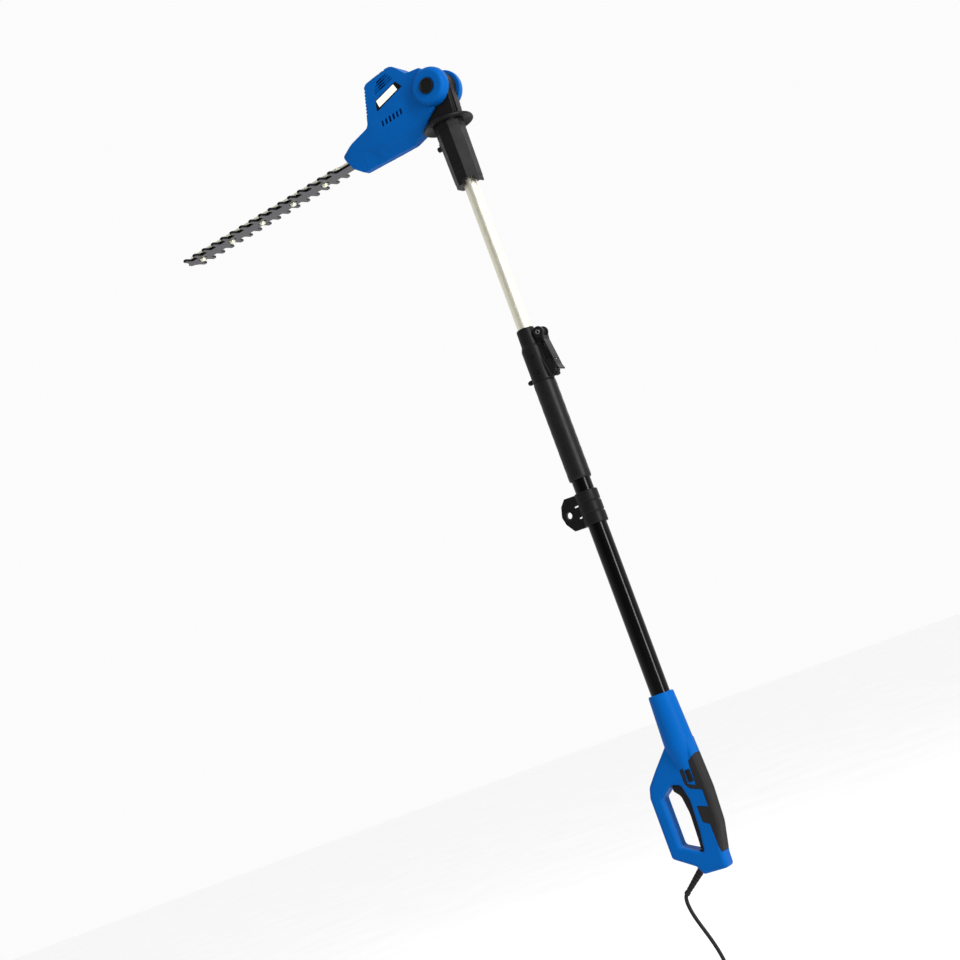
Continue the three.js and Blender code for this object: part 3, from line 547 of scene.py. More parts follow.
def add_gland():
    length = (GLAND_END - GLAND_START).length
    profile = [(0, -6), (9.2, -6), (9.2, -1.4), (7, -1), (7.4, 4), (7.2, 8)]
    step = (length - GLAND_COLLAR - GLAND_TIP) / GLAND_RINGS
    for i in range(GLAND_RINGS):
        low = GLAND_COLLAR + i * step
        radius = 6.9 - 2.2 * i / GLAND_RINGS
        profile += [(radius, low), (radius - 0.2, low + 0.62 * step)]
        profile += [(radius - 1.3, low + 0.68 * step), (radius - 1.4, low + 0.94 * step)]
    profile += [(5.0, length - 6.5), (5.2, length - 5), (5.2, length - 0.8), (4.6, length), (0, length)]
    gland = along_gland(lathe(profile, "Z", segments=48))
    return place(gland, "strain_relief", "base", SOFT, "soft_black", ["cord_gland"], 25)


def add_plug():
    low_x, high_x = span("mains_plug", 0)
    top = span("mains_plug", 2)[1]
    centre = ((low_x + high_x) / 2, 0, top)
    profile = [(0, -52), (15.6, -52), (16.8, -51), (17.4, -48), (17.4, -36), (16.2, -32)]
    profile += [(13.6, -25), (11.2, -19), (9.6, -14)]
    for i in range(PLUG_RIBS):
        low = -13 + 3 * i
        profile += [(7.6 - 0.5 * i, low), (7.5 - 0.5 * i, low + 1.8), (5.6, low + 2), (5.5, low + 2.8)]
    profile += [(5.3, -0.8), (4.6, 0), (0, 0)]
    body = lathe(profile, "Z", centre, 64)
    grips = []
    for side in SIDES:
        flank = centre[0] + side * PLUG_FLANK
        for i in range(PLUG_GRIPS):
            z = top - 47 + 3.4 * i
            grips.append(block((flank - 1, flank + 1), (-7, 7), (z, z + 1.5)))
    carve(body, *grips)
    plug = place(body, "plug_body", "base", CORD, "cord_rubber", ["mains_plug"], 30)
    pins = []
    for side, name in NAMED_SIDES:
        profile = [(0, -68), (1.5, -68), (2.3, -66.6), (2.3, -51.8), (0, -51.8)]
        pin = lathe(profile, "Z", (centre[0], PIN_OFFSET * side, top), 32)
        pins.append(place(pin, "plug_pin_" + name, "base", ZINC, "cord_rubber"))
    return [plug, *pins]


def add_cord():
    cord = curve("power_cord_line", "NURBS", [(x, 0, z) for x, z in CORD_ROUTE], CORD_DIAMETER / 2)
    cord.data.bevel_resolution = 5
    cord.data.resolution_u = 8
    cord.data.splines[0].order_u = 4
    cord.data.splines[0].use_endpoint_u = True
    cord.data.materials.append(CORD)
    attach(cord, "base")
    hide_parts("power_cord")
    gland = add_gland()
    plug_parts = add_plug()


add_cord()


# ---------------------------------------------------------------- cutting head
PIVOT = Vector(JOINTS["head_tilt"]["pos_m"]) / MM
MOTOR_X = JOINTS["motor_spin"]["pos_m"][0] / MM
GEAR_X = JOINTS["gear_spin"]["pos_m"][0] / MM
HEAD_AT = Vector((0, 0, PIVOT.z))
KNUCKLE_R = 31
KNUCKLE_HALF = 18
PUCK_R = 37
PUCK_FACE = 38
PUCK_ROUND = (9.5, 15)  # how far the rounding reaches in from the rim and down from the face
HEAD_SIDE = [
    (-226, -27, 6), (-196, -14, 20), (-148, -4, 14), (-128, 74, 14), (-62, 82, 26), (-35, 49, 6),
    (-4, 44), (-4, -38), (-43, -62, 8), (-78, -76, 10), (-200, -71, 8), (-216, -56, 4),
]
HEAD_PLAN = [
    (-240, -18), (-206, -24, 20), (-140, -28.5, 30), (-20, -28.5, 20), (0, -24),
    (0, 24), (-20, 28.5, 20), (-140, 28.5, 30), (-206, 24, 20), (-240, 18),
]
SIDE_EDGE = (28.8, -14)  # the upper side walls lean in from here to SIDE_TOP
SIDE_TOP = (23, 86)
SIDE_LEAN = math.atan2(SIDE_EDGE[0] - SIDE_TOP[0], SIDE_TOP[1] - SIDE_EDGE[1])
# Along X: the height where the side wall turns in, and where the lower facet starts.
HEAD_CREASES = [
    (-262, -13, -23), (-226, -13, -25), (-188, -14, -31), (-145, -15, -44), (-122, -18.5, -49),
    (-96, -22, -51), (-61, -22.5, -49), (-33, -22.5, -44), (22, -22.5, -42),
]
HEAD_SCREWS = [(-212, -34), (-148, -22), (-60, 62), (-62, -58)]
PLATE_ROOM = [(-118.8, 12.2), (-49.8, 30.4), (-61.2, 46.4), (-114.4, 34.4)]
GROOVES = [
    ((-103, 64), (-76, 69.5)),
    ((-109, 57.4), (-73, 65.2)),
    ((-112, 51.4), (-69, 60.4)),
    ((-114, 46), (-66.5, 55.6)),
]
NECK_ROOM = [(-29, -90), (-29, -12), (-15, 24), (-4, 41), (13, 76), (60, 90), (60, -90)]
VENTS = 6
VENT_START = (-115, -13.8)
VENT_STEP = (8.95, 0.3)
VENT_HALF_HEIGHT = 5.6
GROOVE_HALF = 1.7
GROOVE_DEPTH = 2.6
BROW_RIBS = 8
BROW_PITCH = 6.3
BROW_SLOPE = 0.256
INLAY_FRAME = 1.4


def on_side(points, depths, side, name="tool"):
    """A prism on the leaning side wall; its depths are measured outwards from the wall."""
    raised = [(p[0], p[1] - SIDE_EDGE[1]) for p in points]
    made = prism(raised, sorted(side * depth for depth in depths), "Y", name)
    lean = Matrix.Rotation(side * SIDE_LEAN, 4, "X")
    made.data.transform(Matrix.Translation((0, side * SIDE_EDGE[0], SIDE_EDGE[1])) @ lean)
    return made


def head_section(crease, facet):
    half = [
        (SIDE_TOP[0], SIDE_TOP[1], 16), (SIDE_EDGE[0], SIDE_EDGE[1] + 10), (28.8, crease, 3),
        (26.0, facet, 1.5), (5, -79, 4),
    ]
    mirrored = [(-corner[0], *corner[1:]) for corner in half]
    return outline(half + mirrored[::-1], 5)


def head_room():
    """The hollow inside the head, with room for the stroke of the blades' yokes."""
    return [
        rod(23.5, (-22.5, 68), "Z", (MOTOR_X, 0, 0)),
        block((-203, -62), (-22.6, 22.6), (-29.5, -22.1)),
        block((-158, -62), (-24.3, 24.3), (-29.5, -22.1)),
        block((-158, -58), (-24.3, 24.3), (-39, -27.5)),
        block((-158, -58), (-20.7, 20.7), (-48.2, -38)),
        block((-206, -150), (-16.8, 16.8), (-48.4, -27.5)),
        block((-206, -150), (-7, 7), (-52, -40)),
        block((-260, -200), (-16.5, 16.5), (-48, -35)),
        rod(4.6, (-24, -13.7), "Z", (GEAR_X, 0, 0)),
    ]


def puck(side):
    """A disc whose outer edge is rounded over in a wide curve."""
    inner = KNUCKLE_HALF + GAP
    across, down = PUCK_ROUND
    profile = [(0, inner), (PUCK_R - 0.8, inner), (PUCK_R, inner + 0.8), (PUCK_R, PUCK_FACE - down - 1)]
    for k in range(1, 13):
        angle = math.radians(7.5 * k)
        radius = PUCK_R - across * (1 - math.cos(angle))
        profile.append((radius, PUCK_FACE - down * (1 - math.sin(angle))))
    profile += [(16.2, PUCK_FACE), (15.7, PUCK_FACE - 0.9), (0, PUCK_FACE - 0.9)]
    made = lathe(profile, "Y", segments=128)
    if side < 0:
        made.data.transform(Matrix.Rotation(math.pi, 4, "X"))
    made.data.transform(Matrix.Translation((PIVOT.x, 0, 0)))
    return made


def vents_and_grooves():
    tools = []
    for side in SIDES:
        for i in range(VENTS):
            x = VENT_START[0] + VENT_STEP[0] * i
            z = VENT_START[1] + VENT_STEP[1] * i
            low, high = z - VENT_HALF_HEIGHT, z + VENT_HALF_HEIGHT
            slit = [(x - 3, low, 0.6), (x + 2.2, low, 0.6), (x + 3, high, 0.6), (x - 2.2, high, 0.6)]
            tools.append(prism(outline(slit, 3), sorted((side * 21, side * 40))))
        for (x0, z0), (x1, z1) in GROOVES:
            groove = [(x0, z0 - GROOVE_HALF), (x1, z1 - GROOVE_HALF)]
            groove += [(x1 + 2, z1 + GROOVE_HALF), (x0 + 2, z0 + GROOVE_HALF)]
            tools.append(on_side(groove, (-GROOVE_DEPTH, 9), side))
    return tools


def brow_notches():
    """Short ribs down the front edge of the motor hump, and steps over its top."""
    tools = []
    for i in range(BROW_RIBS):
        z = 18 + BROW_PITCH * i
        x = -147 + (z + 4) * BROW_SLOPE
        tools.append(block((x - 4, x + 1.1), (-THROUGH, THROUGH), (z, z + 2.6)))
    for i in range(3):
        x = -103 + 11 * i
        for side in SIDES:
            tools.append(block((x, x + 3.6), sorted((side * 11, side * 40)), (77.2 + 0.6 * i, 95)))
    return tools


def add_head_shells():
    sections = [(head_section(crease, facet), x) for x, crease, facet in HEAD_CREASES]
    body = loft("head_shell", sections, "X")
    overlap(body, prism(outline(HEAD_PLAN), (-100, 100), "Z"), prism(outline(HEAD_SIDE), (-40, 40)))
    carve(body, *brow_notches())
    weld(body, puck(-1), puck(1))
    inside = (-KNUCKLE_HALF - GAP, KNUCKLE_HALF + GAP)
    centre = (PIVOT.x, 0, 0)
    carve(
        body,
        rod(KNUCKLE_R + 1.5, inside, "Y", centre),
        prism(NECK_ROOM, inside),
        rod(6.4, (-THROUGH, THROUGH), "Y", centre),
        rod(12, (-46, -30), "Y", centre),
        rod(12, (30, 46), "Y", centre),
        *head_room(),
        *vents_and_grooves(),
        *[on_side(outline(PLATE_ROOM), (-0.9, 9), side) for side in SIDES],
        *screw_holes(HEAD_SCREWS, 14, -9),
    )
    soften(body, 0.75, 3)
    body.data.transform(Matrix.Translation(HEAD_AT))
    place_halves(body, "head_shell", "head", BLUE, "blue_casing")


def add_pivot_cap(side, name):
    profile = [
        (0, 35), (11.6, 35), (11.6, PUCK_FACE - 0.4), (14.4, PUCK_FACE - 0.4), (14.6, PUCK_FACE + 1),
        (14.3, PUCK_FACE + 2.4), (12.9, PUCK_FACE + 3.2), (11.5, PUCK_FACE + 2.9),
        (10.9, PUCK_FACE + 1.9), (9.6, PUCK_FACE + 1.7), (0, PUCK_FACE + 2.6),
    ]
    cap = lathe(profile, "Y", segments=96)
    turn = Matrix.Rotation(0 if side > 0 else math.pi, 4, "X")
    cap.data.transform(Matrix.Translation(PIVOT) @ turn)
    node = "pivot_cap_" + name
    place(cap, node + "_dome", "head", BLACK, "black_plastic", [node], 30)


def add_side_plate(side, name):
    """The blank plate on the head's side and the pale inlay with its raised frame."""
    edge = [(-117.9, 13.1, 1), (-50.9, 30.8, 1), (-61.5, 45.6, 1), (-113.9, 33.8, 1)]
    plate = on_side(outline(edge, 4), (-0.6, 0.2), side)
    plate.data.transform(Matrix.Translation(HEAD_AT))
    bevelled(plate, 0.15, 2)
    place(plate, "plate_" + name, "head", PLATE_BLACK, "name_plate", ["name_plate_" + name])
    corners = [(-109.5, 17.6), (-61.6, 29.6), (-66.4, 43), (-112.4, 31.8)]
    inner = inset([Vector(corner) for corner in corners], INLAY_FRAME)
    inlay = on_side(outline([(*corner, 1) for corner in corners], 4), (0.1, 0.5), side)
    carve(inlay, on_side(inner, (0.36, 2), side))
    inlay.data.transform(Matrix.Translation(HEAD_AT))
    place(inlay, "plate_inlay_" + name, "head", PLATE_WHITE, "name_plate", angle=15)


def add_head_trim():
    for side, name in NAMED_SIDES:
        add_pivot_cap(side, name)
        add_side_plate(side, name)


# ---------------------------------------------------------------- blades
BLADE_LOW = span("blade_lower", 2)[0]
TEETH = 16
TOOTH_PITCH = 26.25
FIRST_TOOTH = -261.3
BLADE_TIP = FIRST_TOOTH - (TEETH - 1) * TOOTH_PITCH - 9
BOLT_XS = [-298 - 84 * i for i in range(5)]
BAR_SCREW_XS = [-166, -190]
NUT_R = 5.6
BAR_SHOULDER = -252  # where the bar widens, clear of the head's mouth
BAR_HALF = 18
BAR_HALF_INSIDE = 13
GROUND_BACK = 1.1  # how far grinding draws a cutting edge in
FLAT_ENOUGH = 0.98  # faces whose normal leans further than this are ground edges; they are painted darker as shade


def blade_outline(narrow):
    """Half the blade is listed and mirrored; narrow draws the cutting edges in."""
    tail = [(GEAR_X + 27, 13), (GEAR_X + 21, 20), (GEAR_X - 23, 20), (GEAR_X - 33, 15)]
    flank = [
        (6.8 - 0.4 * narrow, 15 - 0.4 * narrow), (6.2 - narrow, 17),
        (4.7 - narrow, 31.6), (3.3 - narrow, 33.3 - 0.7 * narrow),
    ]
    edge = []
    for i in range(TEETH):
        x = FIRST_TOOTH - i * TOOTH_PITCH
        edge += [(x + across, out) for across, out in flank]
        edge += [(x - across, out) for across, out in reversed(flank)]
    half = tail + edge + [(BLADE_TIP, 9), (BLADE_TIP - 6, 4)]
    return half + [(x, -y) for x, y in reversed(half)]


def long_slot(x, limits):
    """Room round a bolt for the stroke of the blades."""
    return prism(rounded_box((x - 10.2, x + 10.2), (-3.4, 3.4), 3.3, 5), limits, "Z")


def add_blade(node, sharp_side):
    low, high = span(node, 2)
    wide, thin = blade_outline(0), blade_outline(GROUND_BACK)
    middle = 0.35 * low + 0.65 * high if sharp_side < 0 else 0.65 * low + 0.35 * high
    if sharp_side < 0:
        sections = [(thin, low), (wide, middle), (wide, high)]
    else:
        sections = [(wide, low), (wide, middle), (thin, high)]
    blade = loft("blade", sections, "Z")
    reach = (low - 2, high + 2)
    yoke = rounded_box((GEAR_X - 21.8, GEAR_X + 21.8), (-15, 15), 8)
    carve(blade, prism(yoke, reach, "Z"), *[long_slot(x, reach) for x in BOLT_XS + BAR_SCREW_XS])
    body = {"blade_upper": "upper_blade", "blade_lower": "lower_blade"}[node]
    place(blade, node + "_ground", body, BLADE, "blade_steel", [node], 20)
    # the edge faces get the near-black copy of the steel: painted shade along the teeth's edges
    blade.data.materials.append(BLADE_EDGE_SHADE)
    for face in blade.data.polygons:
        if abs(face.normal.z) < FLAT_ENOUGH:
            face.material_index = 1


def add_guide_bar():
    low, high = span("guide_bar", 2)
    edge = outline([
        (-150, -BAR_HALF_INSIDE), (-150, BAR_HALF_INSIDE),
        (BAR_SHOULDER + 8, BAR_HALF_INSIDE, 4), (BAR_SHOULDER, BAR_HALF, 4),
        (BLADE_TIP + 16, BAR_HALF, 8), (BLADE_TIP + 4, 6, 4), (BLADE_TIP + 4, -6, 4),
        (BLADE_TIP + 16, -BAR_HALF, 8), (BAR_SHOULDER, -BAR_HALF, 4),
        (BAR_SHOULDER + 8, -BAR_HALF_INSIDE, 4),
    ])
    bar = prism(edge, (low, high), "Z")
    tools = [rod(3.2, (low - 1, high + 1), "Z", (x, 0, 0), 32) for x in BOLT_XS + BAR_SCREW_XS]
    for first, second in zip(BOLT_XS, BOLT_XS[1:]):
        slot = rounded_box((second + 14, first - 14), (-4, 4), 4, 6)
        tools.append(prism(slot, (high - 1.2, high + 1), "Z"))
    carve(bar, *tools)
    bevelled(bar, 0.5, 2, 40)
    place(bar, "guide_bar_bright", "head", BAR, "bright_steel", ["guide_bar"])


def add_blade_bolts():
    bar_top = span("guide_bar", 2)[1]
    under = BLADE_LOW - GAP + 0.15
    for i, x in enumerate(BOLT_XS):
        bolt = lathe([
            (0, under - 5.2), (2.2, under - 5.2), (2.8, under - 4.6), (2.8, under - 1),
            (6.2, under - 0.9), (6.2, under - 0.1), (2.8, under - 0.1), (2.8, bar_top + GAP),
            (5.2, bar_top + GAP), (5.1, bar_top + 1.6), (4.2, bar_top + 2.7), (2.2, bar_top + 3.2),
            (0, bar_top + 3.3),
        ], "Z", (x, 0, 0), 48)
        angles = [k * math.pi / 3 for k in range(6)]
        corners = [(x + NUT_R * math.cos(angle), NUT_R * math.sin(angle)) for angle in angles]
        nut = prism(corners, (under - 4, under - 0.8), "Z")
        bevelled(nut, 0.5, 2)
        weld(bolt, nut)
        name = "blade_bolt_" + str(i + 1)
        place(bolt, name + "_zinc", "head", BAR, "bright_steel", [name], 30)


# ---------------------------------------------------------------- coupler
FLANGE_Z = PIVOT.z - 70
COUPLER_FOOT = span("coupler_shell_near", 2)[0] + 8
TUBE_TOP = span("upper_tube", 2)[1]
COUPLER_SCREWS = [(12, 646), (-12, 646), (18, 560)]
BUTTON_ROOM = (570.6, 585.4)


def octagon(flat, radius):
    """An eight-sided outline with flats at a distance from the axis and rounded corners."""
    reach = flat / math.cos(math.pi / 8)
    angles = [(k + 0.5) * math.pi / 4 for k in range(8)]
    return outline([(reach * math.cos(a), reach * math.sin(a), radius) for a in angles], 4)


def coupler_flange():
    z = FLANGE_Z
    return lathe([
        (0, z - 6), (28, z - 6), (29.5, z + 2), (31.5, z + 3.6), (45.2, z - 3.4), (46.6, z - 4),
        (47.8, z - 4), (48.5, z - 3.2), (48.5, z - 0.6), (47.6, z + 0.8), (45.6, z + 2),
        (34, z + 7.2), (27, z + 12), (0, z + 12),
    ], "Z", segments=128)


def add_coupler():
    foot = COUPLER_FOOT
    sections = [(24.2, foot), (25.3, foot + 1.6), (26.8, FLANGE_Z - 12), (28.4, FLANGE_Z - 3)]
    body = loft("coupler_shell", [(octagon(flat, 2.2), z) for flat, z in sections], "Z")
    knuckle = lathe([
        (0, -KNUCKLE_HALF), (KNUCKLE_R - 1, -KNUCKLE_HALF), (KNUCKLE_R, -KNUCKLE_HALF + 1),
        (KNUCKLE_R, KNUCKLE_HALF - 1), (KNUCKLE_R - 1, KNUCKLE_HALF), (0, KNUCKLE_HALF),
    ], "Y", PIVOT, 128)
    neck_top = PIVOT.z - 14
    neck = prism([
        (-27, FLANGE_Z + 2), (27, FLANGE_Z + 2), (PIVOT.x + 27, neck_top), (PIVOT.x - 27, neck_top),
    ], (-KNUCKLE_HALF, KNUCKLE_HALF))
    rib_top = PIVOT.z - 8
    rib = prism([(20, FLANGE_Z + 4), (32, FLANGE_Z + 6), (PIVOT.x + 30, rib_top), (20, rib_top)], (-7, 7))
    legs = prism(octagon(24.8, 2.2), (foot - 8, foot + 2), "Z")
    carve(legs, block((-2, 20), (-THROUGH, THROUGH), (foot - 20, foot)))
    weld(body, coupler_flange(), knuckle, neck, rib, legs)
    slots = [block((-9, 9), (-40, -24.6), (z, z + 3.4)) for z in (foot + 14, foot + 22)]
    carve(
        body,
        *slots,
        rod(13.4, (0, TUBE_TOP + GAP), "Z"),
        rod(6, (TUBE_TOP - 5, PIVOT.z - KNUCKLE_R + 8), "Z"),
        rod(6.4, (-40, 40), "Y", PIVOT),
        block((-THROUGH, -15), (-7.4, 7.4), BUTTON_ROOM),
        *screw_holes(COUPLER_SCREWS, 10, -9),
    )
    soften(body, 0.75, 2)
    place_halves(body, "coupler_shell", "extension", BLACK, "black_plastic")


def add_tilt_button():
    node = "tilt_release_button"
    low, high = span(node, 2)
    middle = (low + high) / 2
    button = block((-30, -19.5), (-7, 7), (low, high), "button")
    profile = [(0, -38.5), (3.8, -38.5), (4.7, -37.8), (5, -36.4), (5, -29), (0, -29)]
    weld(button, lathe(profile, "X", (0, 0, middle), 48))
    grooves = [middle - 3.2 + 2.6 * i for i in range(3)]
    carve(button, *[block((-40, -38), (-6, 6), (z, z + 1.2)) for z in grooves])
    bevelled(button, 0.3, 2)
    place(button, "tilt_button_ribbed", "tilt_button", BLACK_FINE, "black_plastic", [node])


# ---------------------------------------------------------------- pole
FOAM_R = 21.0
FOAM_ROWS = 60
COIL_R = 6.1
COIL_WIRE_R = 1.7
COIL_PITCH = 9
COIL_STEPS = 14  # points in one turn
STRAP_EYE = (-46, 0, -148)
STRAP_SCREW = (0, 0, -150)
STRAP_SLITS = [((-32, -21), (-139.5, -136.5)), ((-30, -19), (-161, -158))]
STRAP_BANDS = 3


def pipe_profile(inner, outer, low, high, lip=0.4):
    return [
        (inner, low + lip), (inner + lip, low), (outer - lip, low), (outer, low + lip),
        (outer, high - lip), (outer - lip, high), (inner + lip, high), (inner, high - lip),
    ]


def add_tubes():
    for node, inner, body, material, slot in (
        ("lower_tube", 15.7, "base", TUBE, "black_tube"),
        ("upper_tube", 11.7, "extension", ALUMINIUM, "aluminium"),
    ):
        low, high = span(node, 2)
        outer = span(node, 0)[1]
        tube = lathe(pipe_profile(inner, outer, low, high), "Z", segments=128)
        place(tube, node + "_drawn", body, material, slot, [node])


def add_foam():
    low, high = span("front_foam_grip", 2)
    profile = [(17.9, low), (19.6, low), (20.5, low + 0.9), (20.9, low + 2.6)]
    for i in range(1, FOAM_ROWS):
        z = low + 3 + (high - low - 6) * i / FOAM_ROWS
        swell = 0.12 * math.sin(0.9 * i) + 0.08 * math.sin(2.3 * i + 1)
        profile.append((FOAM_R + swell, z))
    profile += [(20.9, high - 2.6), (20.5, high - 0.9), (19.6, high), (17.9, high)]
    grip = lathe(profile, "Z", segments=96)
    place(grip, "foam_sleeve", "base", FOAM, "foam", ["front_foam_grip"])


def add_coiled_lead():
    """The coiled lead inside the pole, built as one fixed coil over the CAD lead's length."""
    low, high = span("internal_coiled_lead", 2)
    count = int((high - low) / COIL_PITCH) * COIL_STEPS
    points = []
    for k in range(count):
        angle = 2 * math.pi * k / COIL_STEPS
        z = low + 2 + (high - low - 4) * k / (count - 1)
        points.append(Vector((COIL_R * math.cos(angle), COIL_R * math.sin(angle), z)) * MM)
    wound = curve("inner_coil", "POLY", points, COIL_WIRE_R * MM)
    wound.data.bevel_resolution = 1
    depsgraph = bpy.context.evaluated_depsgraph_get()
    mesh = bpy.data.meshes.new_from_object(wound.evaluated_get(depsgraph))
    bpy.data.objects.remove(wound)
    coil = linked("coiled_inner_lead", mesh)
    mesh.materials.clear()
    mesh.materials.append(CORD)
    mesh.shade_smooth()
    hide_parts("internal_coiled_lead")
    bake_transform(coil)


def add_strap_bracket():
    low, high = span("strap_bracket", 2)
    body = rod(20.4, (low + 0.5, high - 0.5), "Z", segments=128)
    pitch = (high - low) / STRAP_BANDS
    for i in range(STRAP_BANDS):
        bottom = low + pitch * i + 0.9 * (i > 0)
        top = low + pitch * (i + 1) - 0.9 * (i < STRAP_BANDS - 1)
        band = lathe([
            (0, bottom), (20.9, bottom), (21.8, bottom + 1), (21.8, top - 1), (20.9, top), (0, top),
        ], "Z", segments=128)
        weld(body, band)
    edge = [
        (-16, high), (-45, high + 2, 3), (-56, -128, 3), (-61.5, -146, 3), (-58, -161, 3),
        (-46, low + 2, 3), (-16, low),
    ]
    plate = prism(outline(edge, 6), (-3.2, 3.2))
    rim_profile = [(0, -3.8), (8.4, -3.8), (9, -3.2), (9, 3.2), (8.4, 3.8), (0, 3.8)]
    rim = lathe(rim_profile, "Y", STRAP_EYE, 64)
    pad = lathe([(0, 17), (7.5, 17), (7.5, 21.6), (6.8, 22.2), (0, 22.2)], "Y", STRAP_SCREW, 48)
    weld(body, plate, rim, pad)
    carve(
        body,
        rod(17.8, (low - 10, high + 10), "Z", segments=128),
        rod(6, (-10, 10), "Y", STRAP_EYE, 48),
        *[block(xs, (-10, 10), zs) for xs, zs in STRAP_SLITS],
        rod(2.9, (10, 40), "Y", STRAP_SCREW, 32),
        block((-0.8, 0.8), (17, 30), (low - 10, -158.5)),
        block((-0.8, 0.8), (17, 30), (-141.5, high + 10)),
    )
    soften(body, 0.55, 2)
    place(body, "strap_bracket_moulded", "strap", BLACK, "black_plastic", ["strap_bracket"], 50)


# ---------------------------------------------------------------- telescopic clamp
CLAMP_FOOT, CLAMP_TOP = span("clamp_collar", 2)
CLAMP_PIN = Vector(JOINTS["clamp_lever_open"]["pos_m"]) / MM
CLAMP_STEP = 159  # the height where the collar narrows
CLAMP_SCREWS = [(2.5, 142.5), (2.5, 112)]
CLAMP_PIN_R = 2.8
LEVER_HALF = 11.5
CHEEK_R = 10.5
ARM_HALF = 6
STOP_Z = 103


def add_clamp_collar():
    collar = lathe([
        (0, CLAMP_FOOT), (19.6, CLAMP_FOOT), (20.6, CLAMP_FOOT + 1), (20.6, CLAMP_STEP - 1),
        (20.1, CLAMP_STEP + 1), (17.8, CLAMP_STEP + 7), (17.4, CLAMP_STEP + 9), (17, CLAMP_TOP - 4),
        (16.6, CLAMP_TOP - 1.2), (15.6, CLAMP_TOP), (0, CLAMP_TOP),
    ], "Z", segments=128, name="clamp")
    middle = (-ARM_HALF, ARM_HALF)
    lug = rod(8.5, middle, "Y", CLAMP_PIN)
    arm = prism([(8, 171), (28, 172), (28, 189), (8, 193)], middle)
    web = prism([(8, 160), (29, 160), (24.5, 174), (8, 174)], middle)
    side = prism(outline([
        (8, 164), (27.5, 163, 4), (33, 136, 12), (34, 104, 3), (29.5, 98, 3), (8, 98),
    ]), (-10.5, 10.5))
    carve(side, *[block((21, 40), sorted((7.5 * y, 12 * y)), (129, 159)) for y in SIDES])
    catch = prism(outline([(26, 101.4), (35.5, 101.4, 3), (33, 95.6, 3), (26, 95.6)]), middle)
    rail = prism(outline([(9, 158, 1), (13, 158, 1), (24, 99, 1), (20, 99, 1)]), (-12.2, 12.2))
    weld(collar, lug, arm, web, side, catch, rail)
    carve(
        collar,
        rod(13.4, (0, CLAMP_TOP + 5), "Z", segments=128),
        rod(17.8, (0, 146.4), "Z", segments=128),
        block((0, 60), (-0.6, 0.6), (0, CLAMP_TOP + 5)),
        rod(CLAMP_PIN_R, (-20, 20), "Y", CLAMP_PIN),
        *[rod(4.2, (-30, -18.1), "Y", (x, 0, z), 32) for x, z in CLAMP_SCREWS],
    )
    soften(collar, 0.6, 2)
    place(collar, "clamp_collar_moulded", "base", BLACK, "black_plastic", ["clamp_collar"], 50)


def add_clamp_lever():
    plate = prism(outline([
        (36, 175), (34.6, 164, 6), (38.6, 134, 20), (41, 112, 14), (44, 103.5, 1),
        (41.5, 102.2, 1), (38, 110, 12), (35.4, 134, 20), (31.2, 163, 6), (26, 176),
    ]), (-LEVER_HALF, LEVER_HALF), "Y", "lever")
    cheek = CHEEK_R - 0.8
    weld(plate, lathe([
        (0, -LEVER_HALF), (cheek, -LEVER_HALF), (CHEEK_R, 0.8 - LEVER_HALF),
        (CHEEK_R, LEVER_HALF - 0.8), (cheek, LEVER_HALF), (0, LEVER_HALF),
    ], "Y", CLAMP_PIN, 64))
    carve(
        plate,
        rod(CHEEK_R + 1, (-ARM_HALF - 0.5, ARM_HALF + 0.5), "Y", CLAMP_PIN),
        rod(CLAMP_PIN_R, (-20, 20), "Y", CLAMP_PIN),
        block((36, 60), (-9, 9), (123.6, 125.4)),
    )
    soften(plate, 0.5, 2)
    place(plate, "clamp_lever_moulded", "lever", BLACK, "black_plastic", ["clamp_lever"], 50)


def add_clamp_trim():
    nub = lathe([
        (0, -31), (3.2, -31), (3.5, -30.6), (3.5, -28.4), (4.6, -28), (4.6, -22), (4.2, -21.2),
        (0, -21.2),
    ], "X", (0, 0, STOP_Z), 48)
    place(nub, "clamp_stop_screw", "base", BLACK, "black_plastic", ["clamp_side_screw"])
    head = [
        (0, -9), (2, -9), (2, -12.6), (2.4, -13), (4.2, -13), (4.6, -12.6), (4.6, -11.8), (2.5, -11.8),
    ]
    mirrored = [(radius, -height) for radius, height in reversed(head)]
    pin = lathe(head + mirrored, "Y", CLAMP_PIN, 48)
    place(pin, "clamp_pin_rivet", "base", PIN_STEEL, "bright_steel", ["clamp_pin"])


# ---------------------------------------------------------------- rear handle
GRIP_HALF = 17
HANDLE_FOOT = span("rear_handle_shell_near", 2)[0]
SLEEVE_TOP = span("rear_handle_shell_near", 2)[1]
TRIGGER_PIVOT = Vector(JOINTS["trigger_pull"]["pos_m"]) / MM
LOOP = [
    (-22, -588), (-56, -622, 24), (-80, -648, 24), (-86, -667, 9), (-86, -778, 9), (-46, -802, 8),
    (-37, HANDLE_FOOT, 6), (12, HANDLE_FOOT, 7), (13, -794, 12), (25.5, -742, 60), (29, -680, 90),
    (25.5, -588),
]
FINGER_HOLE = [
    (-63, -674, 5), (-37, -656, 7), (-19, -661, 9), (-12, -690, 30), (-15, -745, 60),
    (-21, -782, 5), (-63, -762, 9),
]
OVERMOULD_EDGE = [
    (38, -608), (12.5, -625.5, 2), (10.4, -669, 1), (-4.4, -662, 1), (-2, -634.5, 1), (-10, -636.5, 2),
    (-9.6, -662, 10), (-2, -671, 6), (19, -678.5, 1), (18.3, -709.5, 1), (-2.4, -702.5, 2),
    (-2, -732, 4),
    (9.6, -737.6, 4), (11, -789), (60, -789), (60, -608),
]
GRIP_CORE = [(-13, -600), (24, -600), (26, -680, 90), (22.5, -742, 60), (9, -796), (-13, -796)]
TRIGGER_ROOM = [
    (-42, -652), (-6, -652), (-2.5, -690), (-7, -735), (-16, -784), (-32, -784), (-30, -762),
    (-27, -715), (-31, -680), (-42, -670),
]
